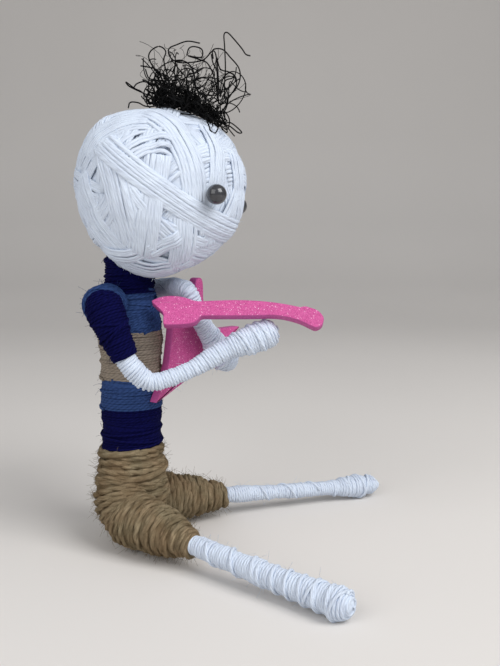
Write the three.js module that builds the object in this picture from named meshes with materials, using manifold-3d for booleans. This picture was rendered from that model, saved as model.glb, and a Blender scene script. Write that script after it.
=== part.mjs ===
// A seated string doll: a wire armature, padded and wound with cotton yarn and jute twine, with
// ball-headed pins for eyes, a tuft of curls and a foam guitar held between its arms.
// Millimetres, +Z up. The doll faces -Y and its left side is +X.
// The origin is on the table, under the middle of the torso.

import * as THREE from "three";
import { mergeVertices } from "three/addons/utils/BufferGeometryUtils.js";
import Module from "manifold-3d";

const wasm = await Module();
wasm.setup();

// Driving dimensions

const CLEARANCE = 0.3; // between pieces that touch
const WIRE_D = 0.7; // armature wire
const COTTON_D = 0.6; // white yarn on the limbs
const HEAD_YARN_D = 0.9; // white yarn on the head
const SHIRT_YARN_D = 0.9; // dyed yarn of the shirt
const JUTE_D = 1.3; // twine of the shorts

const TORSO_RADIUS = 6.3; // outside the shirt yarn
const HIP_RADIUS = 7.9; // outside the shorts
const COLLAR_RADIUS = 4.9; // outside the collar yarn
const SEAT_FLAT_RADIUS = 3.6; // flat under the pelvis
const SEAT_ROUNDING = 6.0; // height over which the pelvis swells
const SHORTS_BASE = 9.6; // lowest turn of the hip winding
const SHORTS_RISE = 10.3; // heights of the bands, from the shorts up
const WAIST_BAND = 8.8;
const LOW_STRIPE = 6.2;
const BEIGE_STRIPE = 9.6;
const CHEST_BAND = 4.8;
const SHOULDER_RISE = 2.2; // shoulder wire above the chest band
const COLLAR_BAND = 3.0;
const COLLAR_RISE = 1.6; // collar above the shoulder wire
const SPINE_FOOT = 4.0; // lower end of the spine wire
const SPINE_IN_HEAD = 12.0; // depth of the spine wire in the head

const HEAD_RADIUS = 17.0; // outside the yarn
const HEAD_FORWARD = 6.5; // head centre in front of the spine
const CHIN_GAP = 0.4; // chin above the shoulders
const HEAD_TURN_LIMIT = 25; // degrees to either side
const HEAD_WIND_TILT = 30; // the head's turns drop this many degrees to the front
const HEAD_WIND_EDGE = 34; // bare poles of the head winding, in degrees
const EYE_BEAD_D = 3.8;
const EYE_SPREAD = { right: 38.5, left: 40 }; // degrees from the middle of the face
const EYE_DROP = { right: 1.0, left: 2.1 }; // below the head's centre
const EYE_SEAT = 1.5; // bead centre above the yarn
const EYE_PIN_LENGTH = 10.0;
const HAIR_LEAN = 20; // degrees in front of the crown
const HAIR_HALF_ANGLE = 25; // of the patch that the tuft covers
const HAIR_PILE = 5.0; // thickness of the dense tuft
const HAIR_STRAND_D = 0.7;
const HAIR_STRANDS = 12;
const HAIR_REACH = 11.0; // strands above the dense tuft
const HAIR_CURL_RADIUS = 2.0;

const SLEEVE_RADIUS = 3.7; // at the shoulder
const CUFF_RADIUS = 2.6;
const ARM_RADIUS = 1.85;
const HAND_RADIUS = 3.2;
const SHOULDER_BACK = 2.3; // shoulder wire behind the spine
const SHOULDER_PITCH = 2.1; // between the turns over the shoulder

const THIGH_ROOT_RADIUS = 6.3;
const THIGH_RADIUS = 4.8;
const HEM_RADIUS = 2.9;
const HIP_SPACING = 6.8; // hip centre beside the spine
const HIP_FORWARD = 2.2; // hip centre in front of the spine
const ROOT_LIFT = 0.2; // keeps the thigh's underside off the table
const FOOT_SINK = 0.45; // lowers the foot's axis, so that its turns reach the table
const THIGH_LENGTH = 16.5; // hip centre to hem
const HEM_HEIGHT = 5.0; // leg axis above the table at the hem
const SHIN_RADIUS = 2.0;
const FOOT_RADIUS = 2.9;
const LEG_SPREAD = { right: 28.5, left: 32.3 }; // degrees from straight ahead
const LEG_LENGTH = { right: 49.2, left: 54.7 }; // hip centre to the middle of the foot

const FOAM = 2.0; // thickness of the guitar's foam sheet
const GUITAR_TURN = 30; // the body's face turns this far to the doll's right
const BODY_TIP = [-1.2, -21.3]; // body outline: along the board, and from the shoulder's height
const BODY_NEAR_MID = [2.4, -15.0];
const BODY_NEAR_TOP = [3.9, -6.5];
const NOTCH_DEPTH = -1.5; // the left arm passes over the body here
const NOTCH_FROM = 4.2;
const NOTCH_TO = 9.9;
const HORN_TO = 13.0;
const HORN_TOP = 3.7;
const WING_TIP = [25.2, -7.6];
const WING_WAIST = [14.2, -4.6];
const NECK_TURN = 10; // the neck points this far to the doll's left
const NECK_TILT = 30; // the neck's face leans back
const NECK_WIDTH = 3.2;
const NECK_REACH = 12.1; // past the hand, to the end of the headstock
const NECK_DROOP = 2.4; // of the headstock's end
const TAIL_REACH = 22.2; // behind the hand, to the tips of the fish tail
const TAIL_WIDTH = 6.4;
const TAIL_DROP = 0.5; // of the tail's middle below the neck's
const TAIL_LENGTH = 9.8;
const TAIL_NOTCH = 2.5;
const HEADSTOCK_WIDTH = 3.9;
const HEADSTOCK_LENGTH = 4.6;
const HAND_REST_LEAN = 20; // degrees from straight up, where the neck rests on the hand

// Loops of each winding, and how finely they are drawn
const LOOPS = {
  hip: 5,
  waist: 5,
  lowStripe: 3,
  beige: 6,
  chest: 2,
  collar: 1,
  head: 10,
  shoulder: 2,
  sleeve: 3,
  upperArm: { right: 2, left: 6 },
  forearm: { right: 13, left: 9 },
  thigh: 5,
  shin: { right: 14, left: 16 },
};
const CORD_SIDES = 4;
const LIMB_STEPS = 7;
const TORSO_STEPS = 10;
const HEAD_STEPS = 16;
const FORM_SIDES = 10;
const LATHE_SIDES = 20;

// Finishes

const finish = (colour, roughness, metalness = 0) =>
  new THREE.MeshStandardMaterial({ color: colour, roughness, metalness });
const WHITE = 0xdfe6f0;
const NAVY = 0x12143c;
const DENIM = 0x33507e;
const BEIGE = 0xb0a595;
const JUTE = 0x9a8763;
const BATTING = 0xe6e2d8;
const WIRE = 0x9a9ca0;

// Small helpers

const vec = (x, y, z) => new THREE.Vector3(x, y, z);
const radians = THREE.MathUtils.degToRad;
const lerp = THREE.MathUtils.lerp;
const UP = vec(0, 0, 1);

const doll = new THREE.Group();

function addPiece(name, geometry, material, parent = doll) {
  const mesh = new THREE.Mesh(geometry, material);
  mesh.name = name;
  parent.add(mesh);
  return mesh;
}

// A closed geometry as a solid that can be cut and joined.
function toSolid(geometry) {
  const bare = geometry.clone();
  bare.deleteAttribute("normal");
  bare.deleteAttribute("uv");
  const merged = mergeVertices(bare, 1e-4);
  return new wasm.Manifold(
    new wasm.Mesh({
      numProp: 3,
      vertProperties: merged.attributes.position.array,
      triVerts: new Uint32Array(merged.index.array),
    }),
  );
}

function toGeometry(solid) {
  const mesh = solid.getMesh();
  const geometry = new THREE.BufferGeometry();
  geometry.setAttribute("position", new THREE.BufferAttribute(mesh.vertProperties, 3));
  geometry.setIndex(new THREE.BufferAttribute(mesh.triVerts, 1));
  geometry.computeVertexNormals();
  return geometry;
}

const cut = (geometry, ...cutters) =>
  toGeometry(cutters.reduce((solid, c) => solid.subtract(toSolid(c)), toSolid(geometry)));
const join = (geometry, ...others) =>
  toGeometry(others.reduce((solid, o) => solid.add(toSolid(o)), toSolid(geometry)));

// A closed tube through stations { at, r }, with a flat or pointed cap at each end. Its rings
// are carried along without twisting.
function tube(stations, sides) {
  const centres = stations.map((s) => s.at);
  const positions = [];
  const faces = [];
  let across = null;
  stations.forEach((station, i) => {
    const before = centres[Math.max(i - 1, 0)];
    const after = centres[Math.min(i + 1, centres.length - 1)];
    const along = after.clone().sub(before).normalize();
    if (!across) across = Math.abs(along.z) < 0.8 ? UP.clone() : vec(1, 0, 0);
    across.addScaledVector(along, -across.dot(along)).normalize();
    const third = along.clone().cross(across);
    for (let k = 0; k < sides; k++) {
      const turn = (2 * Math.PI * k) / sides;
      const p = station.at.clone();
      p.addScaledVector(across, station.r * Math.cos(turn));
      p.addScaledVector(third, station.r * Math.sin(turn));
      positions.push(p.x, p.y, p.z);
    }
  });
  for (let i = 0; i + 1 < stations.length; i++) {
    for (let k = 0; k < sides; k++) {
      const a = i * sides + k;
      const b = i * sides + ((k + 1) % sides);
      faces.push(a, b, a + sides, b, b + sides, a + sides);
    }
  }
  const last = (stations.length - 1) * sides;
  for (let k = 1; k + 1 < sides; k++) {
    faces.push(0, k + 1, k);
    faces.push(last, last + k, last + k + 1);
  }
  const geometry = new THREE.BufferGeometry();
  geometry.setAttribute("position", new THREE.Float32BufferAttribute(positions, 3));
  geometry.setIndex(faces);
  geometry.computeVertexNormals();
  return geometry;
}

const rod = (from, to, diameter, sides = 8) =>
  tube([from, to].map((at) => ({ at, r: diameter / 2 })), sides);

const ball = (centre, radius, across = 16, down = 12) =>
  new THREE.SphereGeometry(radius, across, down).translate(centre.x, centre.y, centre.z);

// Stations along a route whose radius follows a profile of [distance, radius] pairs. Rounded ends
// close over a quarter circle that lies inside the route.
function radiusAt(profile, distance) {
  const next = profile.findIndex(([d]) => d >= distance);
  if (next === 0) return profile[0][1];
  if (next < 0) return profile[profile.length - 1][1];
  const [d0, r0] = profile[next - 1];
  const [d1, r1] = profile[next];
  const part = (distance - d0) / (d1 - d0);
  return lerp(r0, r1, part * part * (3 - 2 * part));
}

function roundedRadius(profile, distance, startRound, endDistance, endRound) {
  const r = radiusAt(profile, distance);
  const short = Math.max(startRound - distance, distance - (endDistance - endRound), 0);
  const span = distance < endDistance / 2 ? startRound : endRound;
  return span > 0 ? r * Math.sqrt(Math.max(1 - (short / span) ** 2, 0.02)) : r;
}

class Limb {
  // A route through hand-placed points, with an outer radius profile and rounded ends.
  constructor(points, profile, { startRound = 0, endRound = 0 } = {}) {
    this.curve = points.length > 2
      ? new THREE.CatmullRomCurve3(points, false, "centripetal")
      : new THREE.LineCurve3(points[0], points[1]);
    this.length = this.curve.getLength();
    this.radius = (d) => roundedRadius(profile, d, startRound, this.length, endRound);
    const tangents = [0, 0.25, 0.5, 0.75, 1].map((part) => this.curve.getTangentAt(part));
    const lean = (axis) => Math.max(...tangents.map((t) => Math.abs(t.dot(axis))));
    this.guide = [vec(1, 0, 0), vec(0, 1, 0), UP].sort((a, b) => lean(a) - lean(b))[0];
  }

  // A point on the route, or straight on past either end.
  at(distance) {
    const part = THREE.MathUtils.clamp(distance / this.length, 0, 1);
    const beyond = distance - part * this.length;
    return this.curve.getPointAt(part).addScaledVector(this.curve.getTangentAt(part), beyond);
  }

  // Padding or wire: the route from one distance to another, drawn in by an inset.
  core(from, to, inset, rings, sides = FORM_SIDES) {
    const stations = [];
    for (let i = 0; i <= rings; i++) {
      const d = lerp(from, to, 0.5 - 0.5 * Math.cos((Math.PI * i) / rings));
      stations.push({ at: this.at(d), r: Math.max(this.radius(d) - inset, 0.25) });
    }
    return tube(stations, sides);
  }

  wire(from, to, diameter) {
    const rings = 6;
    const stations = [];
    for (let i = 0; i <= rings; i++) {
      stations.push({ at: this.at(lerp(from, to, i / rings)), r: diameter / 2 });
    }
    return tube(stations, 6);
  }

  // One unbroken cord wound on the outside of the route.
  winding(name, from, to, loops, cord, steps = LIMB_STEPS) {
    const points = [];
    const count = loops * steps;
    const ring = (d) => {
      const along = this.curve.getTangentAt(THREE.MathUtils.clamp(d / this.length, 0, 1));
      const side = this.guide.clone().addScaledVector(along, -this.guide.dot(along)).normalize();
      return [side, along.clone().cross(side)];
    };
    for (let i = 0; i <= count; i++) {
      const d = lerp(from, to, i / count);
      const turn = (2 * Math.PI * i) / steps;
      const [side, third] = ring(d);
      const r = this.radius(d) - cord / 2;
      const p = this.at(d);
      p.addScaledVector(side, r * Math.cos(turn)).addScaledVector(third, r * Math.sin(turn));
      points.push(p);
    }
    return cordThrough(name, points, cord, steps);
  }
}

// A wound cord: straight for one diameter at both ends, with its least gap to itself printed.
function cordThrough(name, points, diameter, stepsPerLoop) {
  let least = Infinity;
  for (let i = 0; i < points.length; i++) {
    for (let j = i + Math.ceil(stepsPerLoop * 0.6); j < points.length; j++) {
      least = Math.min(least, points[i].distanceTo(points[j]));
    }
  }
  console.log(`${name}: least gap to itself ${(least - diameter).toFixed(2)} mm`);
  const ends = [
    [points[0], points[1]],
    [points[points.length - 1], points[points.length - 2]],
  ].map(([end, inner]) => end.clone().addScaledVector(end.clone().sub(inner).normalize(), diameter));
  const route = [ends[0], ...points, ends[1]];
  return tube(route.map((at) => ({ at, r: diameter / 2 })), CORD_SIDES);
}

const turned = (outline) => {
  const points = outline.map(([r, z]) => new THREE.Vector2(r, z));
  return new THREE.LatheGeometry(points, LATHE_SIDES).rotateX(Math.PI / 2);
};

// Heights of the torso's bands

const shortsTop = SHORTS_BASE + SHORTS_RISE;
const waistTop = shortsTop + WAIST_BAND;
const lowStripeTop = waistTop + LOW_STRIPE;
const beigeTop = lowStripeTop + BEIGE_STRIPE;
const chestTop = beigeTop + CHEST_BAND;
const shoulderHeight = chestTop + SHOULDER_RISE;
const collarBase = shoulderHeight + COLLAR_RISE;
const headCentre = vec(0, -HEAD_FORWARD, shoulderHeight + SLEEVE_RADIUS + CHIN_GAP + HEAD_RADIUS);
const shoulderSpacing = TORSO_RADIUS + SLEEVE_RADIUS + CLEARANCE;
const bore = (wire) => wire + 2 * CLEARANCE;

// Torso: padding, spine and shoulder wires, and the wound bands of shorts and shirt

const spineTop = headCentre.z - HEAD_RADIUS + SPINE_IN_HEAD;
const hipCore = HIP_RADIUS - JUTE_D - CLEARANCE;
const torsoCore = TORSO_RADIUS - SHIRT_YARN_D - CLEARANCE;
const collarCore = COLLAR_RADIUS - SHIRT_YARN_D - CLEARANCE;
const headSweep = [-1, -0.5, 0, 0.5, 1].map((part) =>
  ball(
    headCentre.clone().applyAxisAngle(UP, radians(part * HEAD_TURN_LIMIT)),
    HEAD_RADIUS + CLEARANCE,
    24,
    18,
  ),
);

function buildTorso() {
  const axis = (z) => vec(0, 0, z);
  const padding = turned([
    [0, 0],
    [SEAT_FLAT_RADIUS, 0],
    [lerp(SEAT_FLAT_RADIUS, hipCore, 0.75), SEAT_ROUNDING * 0.4],
    [hipCore, SEAT_ROUNDING],
    [hipCore, shortsTop - JUTE_D],
    [torsoCore, shortsTop],
    [torsoCore, shoulderHeight],
    [collarCore, collarBase],
    [collarCore, headCentre.z],
    [0, headCentre.z],
  ]);
  const spineBore = rod(axis(SPINE_FOOT - CLEARANCE), axis(headCentre.z + 1), bore(WIRE_D));
  const reach = shoulderSpacing + WIRE_D;
  const cross = (x) => vec(x, SHOULDER_BACK, shoulderHeight);
  const crossBore = rod(cross(-reach), cross(reach), bore(WIRE_D));
  addPiece("torso_padding", cut(padding, ...headSweep, spineBore, crossBore), finish(BATTING, 0.95));
  addPiece("spine_wire", rod(axis(SPINE_FOOT), axis(spineTop), WIRE_D), finish(WIRE, 0.4, 0.9));
  addPiece("shoulder_wire", rod(cross(-reach), cross(reach), WIRE_D), finish(WIRE, 0.4, 0.9));
  const bands = [
    ["hip_twine", SHORTS_BASE, shortsTop, HIP_RADIUS, JUTE_D, LOOPS.hip, JUTE],
    ["waist_yarn", shortsTop, waistTop, TORSO_RADIUS, SHIRT_YARN_D, LOOPS.waist, NAVY],
    ["low_stripe_yarn", waistTop, lowStripeTop, TORSO_RADIUS, SHIRT_YARN_D, LOOPS.lowStripe, DENIM],
    ["beige_stripe_yarn", lowStripeTop, beigeTop, TORSO_RADIUS, SHIRT_YARN_D, LOOPS.beige, BEIGE],
    ["chest_yarn", beigeTop, chestTop, TORSO_RADIUS, SHIRT_YARN_D, LOOPS.chest, DENIM],
    ["collar_yarn", collarBase, collarBase + COLLAR_BAND, COLLAR_RADIUS, SHIRT_YARN_D, LOOPS.collar, NAVY],
  ];
  for (const [name, low, high, radius, cord, loops, colour] of bands) {
    const column = new Limb([axis(low), axis(high)], [[0, radius]]);
    const margin = cord / 2 + CLEARANCE / 2;
    const turns = column.winding(name, margin, column.length - margin, loops, cord, TORSO_STEPS);
    addPiece(name, turns, finish(colour, 0.95));
  }
}

// Head: foam ball, yarn, pin eyes and curls

function buildHead() {
  const head = new THREE.Group();
  head.position.copy(headCentre);
  doll.add(head);
  const centre = vec(0, 0, 0);
  const coreRadius = HEAD_RADIUS - HEAD_YARN_D - CLEARANCE;
  const neck = (z) => vec(0, HEAD_FORWARD, z);
  const spineBore = rod(neck(-HEAD_RADIUS), neck(spineTop - headCentre.z + CLEARANCE), bore(WIRE_D));
  const eyes = ["right", "left"].map((side) => {
    const turn = radians(side === "right" ? -EYE_SPREAD.right : EYE_SPREAD.left);
    const level = Math.sqrt(HEAD_RADIUS ** 2 - EYE_DROP[side] ** 2);
    const out = vec(level * Math.sin(turn), -level * Math.cos(turn), -EYE_DROP[side]).normalize();
    const on = (distance) => out.clone().multiplyScalar(distance);
    return { side, on };
  });
  const beadCentre = HEAD_RADIUS + EYE_SEAT;
  const pinTip = beadCentre - EYE_PIN_LENGTH;
  const pinBores = eyes.map(({ on }) => rod(on(pinTip - CLEARANCE), on(beadCentre), bore(WIRE_D)));
  const foam = cut(ball(centre, coreRadius, 22, 16), spineBore, ...pinBores);
  addPiece("head_ball", foam, finish(BATTING, 0.95), head);
  addPiece("head_yarn", headWinding(eyes), finish(WHITE, 0.95), head);
  for (const [i, { side, on }] of eyes.entries()) {
    const bead = cut(ball(on(beadCentre), EYE_BEAD_D / 2, 14, 10), pinBores[i]);
    addPiece(`${side}_eye_bead`, bead, finish(0x4a4d55, 0.25, 0.3), head);
    const shaft = rod(on(pinTip), on(beadCentre - CLEARANCE), WIRE_D);
    addPiece(`${side}_eye_pin`, shaft, finish(WIRE, 0.3, 1), head);
  }
  addPiece("hair_tuft", hairTuft(), finish(0x0b0b0d, 0.6), head);
}

// Turns round a tilted axis, from the crown to the nape, with a gap between turns at the eyes.
function headWinding(eyes) {
  const pole = vec(0, -Math.sin(radians(HEAD_WIND_TILT)), Math.cos(radians(HEAD_WIND_TILT)));
  const side = vec(1, 0, 0);
  const front = side.clone().cross(pole);
  const edge = radians(HEAD_WIND_EDGE);
  const span = Math.PI - 2 * edge;
  const eyePolar = (eyes[0].on(1).angleTo(pole) + eyes[1].on(1).angleTo(pole)) / 2;
  const eyeTurns = ((eyePolar - edge) / span) * LOOPS.head;
  const phase = (0.5 - (eyeTurns % 1)) * 2 * Math.PI;
  const count = LOOPS.head * HEAD_STEPS;
  const points = [];
  for (let i = 0; i <= count; i++) {
    const turn = (2 * Math.PI * i) / HEAD_STEPS + phase;
    const polar = edge + (span * i) / count;
    const level = Math.sin(polar);
    const p = vec(0, 0, 0);
    p.addScaledVector(pole, Math.cos(polar));
    p.addScaledVector(front, level * Math.cos(turn)).addScaledVector(side, level * Math.sin(turn));
    points.push(p.multiplyScalar(HEAD_RADIUS - HEAD_YARN_D / 2));
  }
  return cordThrough("head_yarn", points, HEAD_YARN_D, HEAD_STEPS);
}

// A dense cap of curls with single strands that spring out of it.
function hairTuft() {
  const inner = HEAD_RADIUS + CLEARANCE;
  const outer = inner + HAIR_PILE;
  const half = radians(HAIR_HALF_ANGLE);
  const outline = [];
  const rings = 5;
  for (let i = 0; i <= rings; i++) {
    const a = (half * i) / rings;
    outline.push([inner * Math.sin(a), inner * Math.cos(a)]);
  }
  for (let i = rings - 1; i >= 0; i--) {
    const a = (half * i) / rings;
    const r = lerp(inner, outer, Math.sqrt(1 - (i / rings) ** 2));
    outline.push([r * Math.sin(a), r * Math.cos(a)]);
  }
  const lean = (geometry) => geometry.rotateX(radians(HAIR_LEAN));
  const golden = Math.PI * (3 - Math.sqrt(5));
  const strands = [];
  for (let k = 0; k < HAIR_STRANDS; k++) {
    const a = half * 0.8 * Math.sqrt((k + 0.5) / HAIR_STRANDS);
    const out = vec(Math.sin(a) * Math.cos(golden * k), Math.sin(a) * Math.sin(golden * k), Math.cos(a));
    const side = vec(0, 1, 0).cross(out).normalize();
    const third = out.clone().cross(side);
    const rise = HAIR_REACH * (0.55 + 0.45 * Math.cos(golden * k * 2) ** 2);
    const root = lerp(inner, outer, 0.5 * Math.cos(a));
    const steps = 10;
    const stations = [];
    for (let i = 0; i <= steps; i++) {
      const t = i / steps;
      const turn = golden * k + t * 3 * Math.PI;
      const p = out.clone().multiplyScalar(root + (outer - root + rise) * t);
      const swing = HAIR_CURL_RADIUS * Math.min(2 * t, 1);
      p.addScaledVector(side, swing * Math.cos(turn)).addScaledVector(third, swing * Math.sin(turn));
      stations.push({ at: p, r: HAIR_STRAND_D / 2 });
    }
    strands.push(tube(stations, CORD_SIDES));
  }
  return lean(join(turned(outline), ...strands));
}

// Guitar: a pointed body that leans on the belly, and a fish-tailed neck across the arms

const bodyFace = vec(-Math.sin(radians(GUITAR_TURN)), -Math.cos(radians(GUITAR_TURN)), 0);
const bodyAlong = UP.clone().cross(bodyFace);
const bodyBack = TORSO_RADIUS + CLEARANCE;
const bodyPoint = (along, front, height) =>
  bodyAlong
    .clone()
    .multiplyScalar(along)
    .addScaledVector(bodyFace, bodyBack + FOAM + front)
    .add(vec(0, 0, shoulderHeight + height));

function buildGuitarBody() {
  const outline = new THREE.Shape();
  outline.moveTo(...BODY_TIP);
  outline.quadraticCurveTo(WING_WAIST[0], BODY_NEAR_MID[1], ...WING_TIP);
  outline.quadraticCurveTo(HORN_TO + FOAM, WING_TIP[1], ...WING_WAIST);
  outline.lineTo(HORN_TO, NOTCH_DEPTH);
  outline.quadraticCurveTo(HORN_TO, HORN_TOP, NOTCH_TO + FOAM / 2, HORN_TOP);
  outline.lineTo(NOTCH_TO, NOTCH_DEPTH);
  outline.lineTo(NOTCH_FROM, NOTCH_DEPTH);
  outline.lineTo(...BODY_NEAR_TOP);
  outline.lineTo(...BODY_NEAR_MID);
  const board = new THREE.ExtrudeGeometry(outline, { depth: FOAM, bevelEnabled: false, curveSegments: 6 });
  const place = new THREE.Matrix4().makeBasis(bodyAlong, UP, bodyFace);
  place.setPosition(bodyPoint(0, -FOAM, 0));
  addPiece("guitar_body", board.applyMatrix4(place), finish(0xd8579c, 0.7));
}

// Arms: hand-placed routes, the right one from its shoulder and the left one along the guitar

const shoulder = {
  right: vec(-shoulderSpacing, SHOULDER_BACK, shoulderHeight),
  left: vec(shoulderSpacing, SHOULDER_BACK, shoulderHeight),
};
const fromRight = (x, y, z) => shoulder.right.clone().add(vec(x, y, z));
const armFront = ARM_RADIUS + CLEARANCE;
const armRoutes = {
  right: {
    upper: [
      shoulder.right,
      fromRight(-0.9, -2.3, -5.3),
      fromRight(-0.7, -5, -11.5),
      fromRight(0.5, -9.8, -16.1),
    ],
    fore: [
      fromRight(0.5, -9.8, -16.1),
      fromRight(3.7, -16.6, -13.9),
      fromRight(6.8, -23.7, -9.9),
      fromRight(10.2, -33.2, -6.3),
    ],
    sleeve: 13.0,
  },
  left: {
    upper: [
      shoulder.left,
      shoulder.left.clone().add(vec(0.4, -4.8, 1)),
      bodyPoint(9.6, -6.6, 1.6),
      bodyPoint(7.2, -1.4, 1.7),
      bodyPoint(6.4, armFront + 0.2, 1.5),
    ],
    fore: [
      bodyPoint(6.4, armFront + 0.2, 1.5),
      bodyPoint(10.4, armFront + 1, -7),
      bodyPoint(16.5, armFront + 2.8, -15.5),
    ],
    sleeve: 6.6,
  },
};

function buildArm(side) {
  const { upper, sleeve } = armRoutes[side];
  const elbowRadius = ARM_RADIUS - CLEARANCE;
  const armInset = COTTON_D + CLEARANCE;
  const sleeveInset = SHIRT_YARN_D + CLEARANCE;
  const wireBore = bore(WIRE_D);
  const sleeveLimb = new Limb(upper, [
    [0, SLEEVE_RADIUS],
    [sleeve, CUFF_RADIUS],
  ]);
  const armLimb = new Limb(upper, [[0, ARM_RADIUS]]);
  const elbow = upper[upper.length - 1];
  const wireEnd = armLimb.length - elbowRadius;
  const armWire = (from, to, diameter) => armLimb.wire(from, to, diameter);
  const pivotBore = rod(
    vec(0, SHOULDER_BACK, shoulderHeight),
    vec(Math.sign(shoulder[side].x) * (shoulderSpacing + bore(WIRE_D)), SHOULDER_BACK, shoulderHeight),
    wireBore,
  );
  const top = bore(WIRE_D);
  const sleeveCore = join(
    sleeveLimb.core(0, sleeve, sleeveInset, 6),
    ball(shoulder[side], SLEEVE_RADIUS - sleeveInset, 12, 8),
  );
  addPiece(
    `${side}_sleeve_padding`,
    cut(sleeveCore, pivotBore, armWire(top, sleeve + 1, wireBore)),
    finish(BATTING, 0.95),
  );
  const capStart = wireBore / 2 + SHIRT_YARN_D;
  const capEnd = capStart + LOOPS.shoulder * SHOULDER_PITCH;
  const cap = sleeveLimb.winding(`${side}_shoulder_yarn`, capStart, capEnd, LOOPS.shoulder, SHIRT_YARN_D);
  addPiece(`${side}_shoulder_yarn`, cap, finish(DENIM, 0.95));
  if (side === "right") {
    const start = capEnd + SHIRT_YARN_D + 2 * CLEARANCE;
    const end = sleeve - SHIRT_YARN_D / 2;
    const turns = sleeveLimb.winding("right_sleeve_yarn", start, end, LOOPS.sleeve, SHIRT_YARN_D);
    addPiece("right_sleeve_yarn", turns, finish(NAVY, 0.95));
  }
  const armStart = sleeve + CLEARANCE;
  const armCore = join(
    armLimb.core(armStart, armLimb.length, armInset, 7),
    ball(elbow, elbowRadius, 12, 8),
  );
  addPiece(
    `${side}_upper_arm_padding`,
    cut(armCore, armWire(sleeve, wireEnd + CLEARANCE, wireBore)),
    finish(BATTING, 0.95),
  );
  const windStart = armStart + COTTON_D;
  const windEnd = armLimb.length - elbowRadius - COTTON_D;
  const loops = LOOPS.upperArm[side];
  const armTurns = armLimb.winding(`${side}_upper_arm_yarn`, windStart, windEnd, loops, COTTON_D);
  addPiece(`${side}_upper_arm_yarn`, armTurns, finish(WHITE, 0.95));
  addPiece(`${side}_upper_arm_wire`, armWire(top + CLEARANCE, wireEnd, WIRE_D), finish(WIRE, 0.4, 0.9));
  buildForearm(side, elbowRadius, armInset);
}

function forearmLimb(side) {
  const route = armRoutes[side].fore;
  const reach = new Limb(route, [[0, ARM_RADIUS]]).length;
  const profile = [
    [reach * 0.5, ARM_RADIUS],
    [reach - HAND_RADIUS, HAND_RADIUS],
  ];
  return new Limb(route, profile, { endRound: HAND_RADIUS });
}

function buildForearm(side, elbowRadius, inset) {
  const limb = forearmLimb(side);
  const start = elbowRadius + CLEARANCE + inset * 0.3;
  const wireBore = limb.wire(start - 1, limb.length - HAND_RADIUS, bore(WIRE_D));
  const padding = cut(limb.core(start, limb.length - COTTON_D, inset, 10), wireBore);
  addPiece(`${side}_forearm_padding`, padding, finish(BATTING, 0.95));
  const windEnd = limb.length - COTTON_D - CLEARANCE;
  const loops = LOOPS.forearm[side];
  const turns = limb.winding(`${side}_forearm_yarn`, start + COTTON_D, windEnd, loops, COTTON_D);
  addPiece(`${side}_forearm_yarn`, turns, finish(WHITE, 0.95));
  const wire = limb.wire(start, limb.length - HAND_RADIUS - CLEARANCE, WIRE_D);
  addPiece(`${side}_forearm_wire`, wire, finish(WIRE, 0.4, 0.9));
}

function buildGuitarNeck() {
  const forearm = forearmLimb("right");
  const hand = forearm.at(forearm.length - HAND_RADIUS);
  const along = vec(Math.sin(radians(NECK_TURN)), -Math.cos(radians(NECK_TURN)), 0);
  const level = along.clone().cross(UP);
  const tilt = radians(NECK_TILT);
  const face = level.clone().multiplyScalar(Math.cos(tilt)).addScaledVector(UP, Math.sin(tilt));
  const across = face.clone().cross(along).normalize();
  const lean = radians(HAND_REST_LEAN);
  const rest = level.clone().multiplyScalar(Math.sin(lean)).addScaledVector(UP, Math.cos(lean));
  const corner = hand.clone().addScaledVector(rest, HAND_RADIUS + CLEARANCE);
  const half = NECK_WIDTH / 2;
  const tailHalf = TAIL_WIDTH / 2;
  const tailEnd = -TAIL_REACH + TAIL_LENGTH;
  const stockStart = NECK_REACH - HEADSTOCK_LENGTH;
  const stockHalf = HEADSTOCK_WIDTH / 2;
  const outline = new THREE.Shape();
  const tailTop = tailHalf - TAIL_DROP;
  const tailFoot = -tailHalf - TAIL_DROP;
  outline.moveTo(-TAIL_REACH, half);
  outline.lineTo(-TAIL_REACH + TAIL_NOTCH, -half / 2);
  outline.lineTo(-TAIL_REACH + TAIL_NOTCH, tailFoot);
  outline.lineTo(tailEnd - tailHalf / 2, tailFoot);
  outline.quadraticCurveTo(tailEnd - half / 2, tailFoot, tailEnd, -half);
  outline.lineTo(0, -half);
  outline.quadraticCurveTo(stockStart / 2, -half, stockStart, -half - NECK_DROOP / 2);
  outline.lineTo(NECK_REACH - half, -stockHalf - NECK_DROOP);
  outline.lineTo(NECK_REACH, -NECK_DROOP);
  outline.lineTo(NECK_REACH - half, stockHalf - NECK_DROOP);
  outline.lineTo(stockStart + half / 2, stockHalf - NECK_DROOP / 2);
  outline.lineTo(stockStart, half - NECK_DROOP / 2);
  outline.quadraticCurveTo(stockStart / 2, half, 0, half);
  outline.lineTo(tailEnd, half);
  outline.quadraticCurveTo(tailEnd - half, half, tailEnd - tailHalf, tailTop);
  outline.quadraticCurveTo(-TAIL_REACH + TAIL_NOTCH, tailTop, -TAIL_REACH, half);
  const strip = new THREE.ExtrudeGeometry(outline, { depth: FOAM, bevelEnabled: false, curveSegments: 6 });
  const place = new THREE.Matrix4().makeBasis(along, across, face);
  place.setPosition(corner.clone().addScaledVector(across, half));
  addPiece("guitar_neck", strip.applyMatrix4(place), finish(0xe46aac, 0.6));
}

// Legs: jute thighs that swing round the spine, and white shins that bend at the hem

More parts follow.
